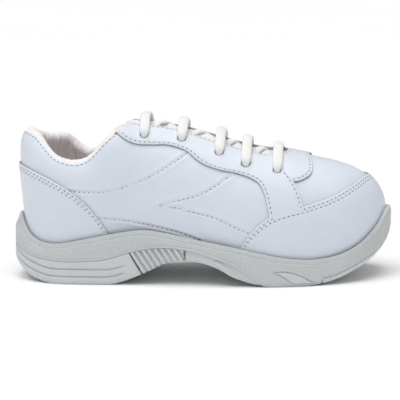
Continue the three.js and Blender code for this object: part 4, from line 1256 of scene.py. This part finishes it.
def coated_leather(colour):
    """White coated synthetic leather: a fine pebble grain under a thin satin polyurethane film."""
    material, tree, shader, place = start_material("coated_leather", Roughness=0.42, Coat_Weight=0.12)
    shader.inputs["Coat Roughness"].default_value = 0.35
    grain = add(tree, "ShaderNodeTexVoronoi", {"Vector": place, "Scale": per_mm(0.95)}, feature="SMOOTH_F1")
    swell = add(tree, "ShaderNodeTexNoise", {"Vector": place, "Scale": per_mm(9), "Detail": 2.0})
    crease = add(tree, "ShaderNodeTexNoise", {"Vector": place, "Scale": per_mm(2.2), "Detail": 3.0})
    bump = relief(tree, swell.outputs["Fac"], 0.35, 0.5)
    bump = relief(tree, crease.outputs["Fac"], 0.2, 0.12, bump)
    bump = relief(tree, grain.outputs["Distance"], 0.35, 0.06, bump)
    tree.links.new(bump, shader.inputs["Normal"])
    shade = tuple(c * k for c, k in zip(colour, (0.93, 0.94, 0.95)))
    tree.links.new(tint(tree, swell.outputs["Fac"], shade, colour), shader.inputs["Base Color"])
    rough = add(tree, "ShaderNodeMapRange", {"Value": crease.outputs["Fac"], "To Min": 0.36, "To Max": 0.5})
    tree.links.new(rough.outputs["Result"], shader.inputs["Roughness"])
    return material


def brushed_knit(name, colour, pitch):
    """Brushed polyester knit: rows of small loops with a soft nap that catches light at its edges."""
    material, tree, shader, place = start_material(name, Roughness=0.92, Sheen_Weight=0.35)
    shader.inputs["Sheen Roughness"].default_value = 0.5
    cloth = add(tree, "ShaderNodeUVMap", uv_map="cloth").outputs["UV"]
    turn = 2 * math.pi / 20  # a band texture has 20 radians to the unit
    rows = add(tree, "ShaderNodeTexWave", {"Vector": cloth, "Scale": turn / pitch, "Distortion": 0.4},
               bands_direction="X")
    loops = add(tree, "ShaderNodeTexWave",
                {"Vector": cloth, "Scale": turn / (pitch * 0.8), "Distortion": 0.4}, bands_direction="Y")
    loop = {0: rows.outputs["Fac"], 1: loops.outputs["Fac"]}
    knit = add(tree, "ShaderNodeMath", loop, operation="MULTIPLY")
    nap = add(tree, "ShaderNodeTexNoise", {"Vector": place, "Scale": per_mm(0.7), "Detail": 4.0})
    bump = relief(tree, knit.outputs["Value"], 0.5, 0.18)
    bump = relief(tree, nap.outputs["Fac"], 0.3, 0.12, bump)
    tree.links.new(bump, shader.inputs["Normal"])
    dark = tuple(c * 0.93 for c in colour)
    blotch = add(tree, "ShaderNodeMath", {0: knit.outputs["Value"], 1: nap.outputs["Fac"]}, operation="ADD")
    tree.links.new(tint(tree, blotch.outputs["Value"], dark, colour), shader.inputs["Base Color"])
    return material


def braided_cotton(colour):
    """White braided lace: matt yarns, with painted shade in the gaps between them."""
    material, tree, shader, place = start_material("braided_cotton", Roughness=0.85, Sheen_Weight=0.25)
    cloth = add(tree, "ShaderNodeUVMap", uv_map="cloth").outputs["UV"]
    yarn = add(tree, "ShaderNodeTexNoise", {"Vector": cloth, "Scale": 2.4, "Detail": 3.0})
    fibre = add(tree, "ShaderNodeTexNoise", {"Vector": place, "Scale": per_mm(0.35), "Detail": 2.0})
    bump = relief(tree, yarn.outputs["Fac"], 0.35, 0.12)
    bump = relief(tree, fibre.outputs["Fac"], 0.25, 0.06, bump)
    tree.links.new(bump, shader.inputs["Normal"])
    # Painted shade: the colour darkens where the yarn bump is low, in the gaps between the yarns.
    dark = tuple(c * 0.86 for c in colour)
    tree.links.new(tint(tree, yarn.outputs["Fac"], dark, colour), shader.inputs["Base Color"])
    return material


def moulded_rubber(name, colour, fleck_and_sparkle, roughness):
    """Moulded rubber: a faintly gritty mould face with pale flecks, partly the rubber's own and partly a painted
    glint for its sparkle.
    """
    material, tree, shader, place = start_material(name, Roughness=roughness)
    grit = add(tree, "ShaderNodeTexNoise", {"Vector": place, "Scale": per_mm(1.1), "Detail": 5.0})
    # Pale flecks mixed into the base colour: partly the rubber's own flecks, partly painted glints standing in for
    # its sparkle.
    cells = add(tree, "ShaderNodeTexVoronoi", {"Vector": place, "Scale": per_mm(1.0)}, feature="F1")
    spots = add(tree, "ShaderNodeMapRange", {
        "Value": cells.outputs["Distance"], "From Min": 0.08, "From Max": 0.3, "To Min": 1.0, "To Max": 0.0})
    spread = add(tree, "ShaderNodeMath", {0: spots.outputs["Result"], 1: fleck_and_sparkle}, operation="MULTIPLY")
    cloud = add(tree, "ShaderNodeTexNoise", {"Vector": place, "Scale": per_mm(14), "Detail": 2.0})
    shade = tuple(c * 0.9 for c in colour)
    base = tint(tree, cloud.outputs["Fac"], shade, colour)
    light = add(tree, "ShaderNodeMix", {0: spread.outputs["Value"], 6: base, 7: (0.95, 0.95, 0.94, 1)},
                data_type="RGBA").outputs[2]
    tree.links.new(light, shader.inputs["Base Color"])
    bump = relief(tree, grit.outputs["Fac"], 0.3, 0.12)
    tree.links.new(bump, shader.inputs["Normal"])
    rough = add(tree, "ShaderNodeMapRange", {"Value": grit.outputs["Fac"], "To Min": roughness - 0.08,
                                             "To Max": roughness + 0.12})
    tree.links.new(rough.outputs["Result"], shader.inputs["Roughness"])
    return material


def plain_hidden(name, colour, roughness, grain, metallic=0.0):
    """The parts inside the shoe and the leather's cut edges, whose grey is partly a painted shadow line: a colour
    with a grain of its own size.
    """
    material, tree, shader, place = start_material(name, Roughness=roughness, Metallic=metallic)
    noise = add(tree, "ShaderNodeTexNoise", {"Vector": place, "Scale": per_mm(grain), "Detail": 4.0})
    dark = tuple(c * 0.78 for c in colour)
    tree.links.new(tint(tree, noise.outputs["Fac"], dark, colour), shader.inputs["Base Color"])
    tree.links.new(relief(tree, noise.outputs["Fac"], 0.3, 0.1), shader.inputs["Normal"])
    return material


def sewing_thread(colour):
    """Bonded polyester thread: a slight gloss on two twisted plies."""
    material, tree, shader, place = start_material("sewing_thread", Roughness=0.55)
    twist = add(tree, "ShaderNodeTexNoise", {"Vector": place, "Scale": per_mm(0.5), "Detail": 2.0})
    dark = tuple(c * 0.85 for c in colour)
    tree.links.new(tint(tree, twist.outputs["Fac"], dark, colour), shader.inputs["Base Color"])
    tree.links.new(relief(tree, twist.outputs["Fac"], 0.3, 0.08), shader.inputs["Normal"])
    return material


def sleeve_plastic(colour):
    """Clear acetate sleeve over the lace's end: glossy, with the yarn pale underneath."""
    material, tree, shader, place = start_material("acetate_sleeve", Roughness=0.2, Coat_Weight=0.5)
    haze = add(tree, "ShaderNodeTexNoise", {"Vector": place, "Scale": per_mm(2), "Detail": 2.0})
    dark = tuple(c * 0.9 for c in colour)
    tree.links.new(tint(tree, haze.outputs["Fac"], dark, colour), shader.inputs["Base Color"])
    return material


def make_looks(settings):
    upper, sole = settings.upper, settings.sole
    return {
        "leather": coated_leather(tuple(upper.leather_colour)),
        "lining": brushed_knit("brushed_knit_lining", tuple(upper.lining_colour), 1.2),
        "tongue": brushed_knit("brushed_knit_tongue", tuple(upper.lining_colour), 1.4),
        "thread": sewing_thread(linear("#eef0f4")),
        "needle_hole": plain_hidden("needle_hole_shadow", linear("#6b6e76"), 0.9, 0.6),
        # Cut edge grey, darkened further as a painted shadow line along the overlays' edges.
        "cut_edge_and_shade": plain_hidden("skived_edge_and_shade", linear("#9b9996"), 0.8, 0.5),
        "lace": braided_cotton(tuple(settings.lace.colour)),
        # The third value is the share of pale flecks, which carry painted sparkle.
        "midsole": moulded_rubber("moulded_midsole_rubber", tuple(sole.midsole_colour), 0.6, 0.55),
        "outsole": moulded_rubber("moulded_outsole_rubber", tuple(sole.outsole_colour), 0.12, 0.5),
        "aglet": sleeve_plastic(linear("#e8e8e6")),
        "board": plain_hidden("pressed_fibre_board", linear("#b59b78"), 0.85, 1.5),
        "stiffener": plain_hidden("thermoplastic_stiffener", linear("#8f8f95"), 0.6, 1.0),
        "steel": plain_hidden("spring_steel", linear("#9aa0a6"), 0.35, 2.0, 1.0),
    }


# ---- Settings ------------------------------------------------------------------------
def colour_prop(name, description, code):
    return bpy.props.FloatVectorProperty(
        name=name, description=description, default=linear(code), min=0, max=1, size=3, subtype="COLOR")


class UpperSettings(bpy.types.PropertyGroup):
    stitch_pitch: bpy.props.FloatProperty(
        name="Stitch pitch", description="Distance from one stitch to the next", default=3.1 * MM,
        unit="LENGTH")
    thread_radius: bpy.props.FloatProperty(
        name="Thread radius", description="Radius of the sewing thread", default=0.34 * MM, unit="LENGTH")
    leather_colour: colour_prop("Leather", "Colour of the coated leather", "#e1e7f1")
    lining_colour: colour_prop("Lining", "Colour of the lining and tongue knit", "#fbf5f5")


class LaceSettings(bpy.types.PropertyGroup):
    braid_pitch: bpy.props.FloatProperty(
        name="Braid pitch", description="Length of one turn of the braid's yarns", default=2.6 * MM,
        unit="LENGTH")
    colour: colour_prop("Lace", "Colour of the braided lace", "#fbfbfa")


class SoleSettings(bpy.types.PropertyGroup):
    groove_depth: bpy.props.FloatProperty(
        name="Heel line depth", description="Depth of the two lines round the heel", default=1.1 * MM,
        unit="LENGTH")
    midsole_colour: colour_prop("Midsole", "Colour of the midsole rubber", "#c8cccd")
    outsole_colour: colour_prop("Outsole", "Colour of the outsole rubber", "#d3d6d8")


class StageSettings(bpy.types.PropertyGroup):
    azimuth: bpy.props.FloatProperty(
        name="Azimuth", description="The camera's turn round the shoe", default=math.radians(4),
        subtype="ANGLE")
    elevation: bpy.props.FloatProperty(
        name="Elevation", description="The camera's height over the floor", default=math.radians(10),
        subtype="ANGLE")
    roll: bpy.props.FloatProperty(
        name="Roll", description="The camera's tilt", default=math.radians(0.9), subtype="ANGLE")
    distance: bpy.props.FloatProperty(
        name="Distance", description="From the camera to the shoe", default=1.25, unit="LENGTH")
    aim_height: bpy.props.FloatProperty(
        name="Aim height", description="Height of the point the camera looks at", default=48.5 * MM,
        unit="LENGTH")
    lens: bpy.props.FloatProperty(
        name="Lens", description="The camera's focal length in millimetres", default=172.5, unit="CAMERA")
    floor_colour: colour_prop("Floor", "Colour of the floor", "#fcfcfc")


class ShoeSettings(bpy.types.PropertyGroup):
    upper: bpy.props.PointerProperty(type=UpperSettings)
    lace: bpy.props.PointerProperty(type=LaceSettings)
    sole: bpy.props.PointerProperty(type=SoleSettings)
    stage: bpy.props.PointerProperty(type=StageSettings)


LOOKS = {}


def looks_for(context):
    if not LOOKS:
        LOOKS.update(make_looks(context.scene.cheer_shoe))
    return LOOKS


# ---- Operators -----------------------------------------------------------------------
class SHOE_OT_upper(bpy.types.Operator):
    """Build the quarters, vamp, overlays and their stitching"""

    bl_idname = "shoe.upper"
    bl_label = "Upper"

    def execute(self, context):
        settings, looks = context.scene.cheer_shoe.upper, looks_for(context)
        builders = [
            ("quarter_lateral", lambda: build_quarter("quarter_lateral", False, looks)),
            ("quarter_medial", lambda: build_quarter("quarter_medial", True, looks)),
            ("facing_lateral", lambda: build_facing("eyestay_lateral", False, looks)),
            ("facing_medial", lambda: build_facing("eyestay_medial", True, looks)),
            ("vamp", lambda: build_vamp(looks)),
            ("toe_cap", lambda: build_toe_cap(looks)),
            ("heel_foxing", lambda: build_foxing(looks)),
            ("throat_patch", lambda: build_patch(looks)),
        ]
        for name, build in builders:
            _, lines = build()
            if lines:
                build_stitches("stitches_" + name, lines, settings, looks)
        return {"FINISHED"}


class SHOE_OT_lining(bpy.types.Operator):
    """Build the padded collar, the linings and the sockliner"""

    bl_idname = "shoe.lining"
    bl_label = "Lining"

    def execute(self, context):
        looks = looks_for(context)
        build_collar_lining(looks)
        build_vamp_lining(looks)
        build_sockliner(looks)
        return {"FINISHED"}


class SHOE_OT_tongue(bpy.types.Operator):
    """Build the padded tongue"""

    bl_idname = "shoe.tongue"
    bl_label = "Tongue"

    def execute(self, context):
        build_tongue(looks_for(context))
        return {"FINISHED"}


class SHOE_OT_lace(bpy.types.Operator):
    """Build the braided lace and its two tips"""

    bl_idname = "shoe.lace"
    bl_label = "Lace"

    def execute(self, context):
        looks = looks_for(context)
        settings = context.scene.cheer_shoe.lace
        build_lace(looks, settings.braid_pitch / MM)
        points = [p for p, *_ in lace_route()]
        build_aglet("aglet_start", points[0], points[1], looks)
        build_aglet("aglet_end", points[-1], points[-2], looks)
        return {"FINISHED"}


class SHOE_OT_sole(bpy.types.Operator):
    """Build the midsole, heel block, side panels and treads"""

    bl_idname = "shoe.sole"
    bl_label = "Sole"

    def execute(self, context):
        looks, sole = looks_for(context), SoleSide()
        build_midsole(sole, looks)
        build_heel(sole, context.scene.cheer_shoe.sole, looks)
        build_forefoot(sole, looks)
        for inner in (False, True):
            build_ribs(sole, inner, looks)
            build_flare(sole, inner, looks)
            build_crescent(sole, inner, looks)
        return {"FINISHED"}


class SHOE_OT_hidden(bpy.types.Operator):
    """Give the stiffeners, the board and the shank their own finishes"""

    bl_idname = "shoe.hidden"
    bl_label = "Inner parts"

    def execute(self, context):
        looks = looks_for(context)
        kinds = {
            "heel_counter": "stiffener", "toe_puff": "stiffener", "eyestay_backer_lateral": "stiffener",
            "eyestay_backer_medial": "stiffener", "shank": "steel", "insole_board": "board",
        }
        for node, kind in kinds.items():
            mesh = bpy.data.objects[node].data
            mesh.materials.clear()
            mesh.materials.append(looks[kind])
        return {"FINISHED"}


class SHOE_OT_stage(bpy.types.Operator):
    """Set up the floor, the soft lights and the camera"""

    bl_idname = "shoe.stage"
    bl_label = "Stage"

    def execute(self, context):
        settings = context.scene.cheer_shoe.stage
        scene = context.scene
        build_floor(settings)
        add_sun("overhead_softbox", (-0.12, -0.2, 1.0), 2.1, math.radians(55))
        world = bpy.data.worlds.new("studio")
        scene.world = world
        world.use_nodes = True
        add_sky(world.node_tree)
        add_camera(settings)
        scene.view_settings.view_transform = "Standard"
        return {"FINISHED"}


def add_sky(tree):
    """A white studio dome, brighter overhead than at the sides."""
    height = add(tree, "ShaderNodeSeparateXYZ", {0: add(tree, "ShaderNodeTexCoord").outputs["Generated"]})
    strength = add(tree, "ShaderNodeMapRange", {
        "Value": height.outputs["Z"], "From Min": 0.0, "From Max": 1.0, "To Min": 0.25, "To Max": 0.5})
    backdrop = tree.nodes["Background"]
    backdrop.inputs["Color"].default_value = (1, 1, 1, 1)
    tree.links.new(strength.outputs["Result"], backdrop.inputs["Strength"])


def build_floor(settings):
    work = bmesh.new()
    bmesh.ops.create_grid(work, x_segments=2, y_segments=2, size=14)
    mesh = bpy.data.meshes.new("floor")
    work.to_mesh(mesh)
    work.free()
    floor = link_object("floor", mesh)
    material, tree, shader, place = start_material("matt_floor", Roughness=0.9)
    cloud = add(tree, "ShaderNodeTexNoise", {"Vector": place, "Scale": per_mm(400), "Detail": 2.0})
    colour = tuple(settings.floor_colour)
    dim = tuple(c * 0.985 for c in colour)
    tree.links.new(tint(tree, cloud.outputs["Fac"], dim, colour), shader.inputs["Base Color"])
    mesh.materials.append(material)


def add_sun(name, towards, strength, spread):
    data = bpy.data.lights.new(name, "SUN")
    data.energy = strength
    data.angle = spread
    light = link_object(name, data)
    light.rotation_euler = Vector(towards).to_track_quat("Z", "Y").to_euler()


def add_camera(settings):
    a, e = settings.azimuth, settings.elevation
    back = Vector((math.sin(a) * math.cos(e), -math.cos(a) * math.cos(e), math.sin(e)))
    right = Vector((0, 0, 1)).cross(back).normalized()
    up = back.cross(right)
    turn = Matrix((right, up, back)).transposed() @ Matrix.Rotation(-settings.roll, 3, "Z")
    data = bpy.data.cameras.new("camera")
    data.sensor_width = 36
    data.lens = settings.lens
    data.clip_end = 60
    camera = link_object("camera", data)
    aim = Vector((0, 0, settings.aim_height))
    camera.matrix_world = Matrix.Translation(aim + back * settings.distance) @ turn.to_4x4()
    bpy.context.scene.camera = camera


class SHOE_PT_panel(bpy.types.Panel):
    """The shoe's sizes, colours and builders"""

    bl_idname = "SHOE_PT_panel"
    bl_label = "Cheer shoe"
    bl_space_type = "VIEW_3D"
    bl_region_type = "UI"
    bl_category = "Shoe"

    def draw(self, context):
        settings = context.scene.cheer_shoe
        for group in (settings.upper, settings.lace, settings.sole, settings.stage):
            box = self.layout.box()
            for key in group.__annotations__:
                box.prop(group, key)
        for operator in OPERATORS:
            self.layout.operator(operator.bl_idname)


OPERATORS = (
    SHOE_OT_stage, SHOE_OT_upper, SHOE_OT_lining, SHOE_OT_tongue, SHOE_OT_lace, SHOE_OT_sole, SHOE_OT_hidden,
)
CLASSES = (UpperSettings, LaceSettings, SoleSettings, StageSettings, ShoeSettings, *OPERATORS, SHOE_PT_panel)


def register():
    for cls in CLASSES:
        bpy.utils.register_class(cls)
    bpy.types.Scene.cheer_shoe = bpy.props.PointerProperty(type=ShoeSettings)


def unregister():
    del bpy.types.Scene.cheer_shoe
    for cls in reversed(CLASSES):
        bpy.utils.unregister_class(cls)


def main():
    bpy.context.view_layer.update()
    register()
    bpy.ops.shoe.stage()
    bpy.ops.shoe.upper()
    bpy.ops.shoe.lining()
    bpy.ops.shoe.tongue()
    bpy.ops.shoe.lace()
    bpy.ops.shoe.sole()
    bpy.ops.shoe.hidden()


if __name__ == "__main__":
    main()
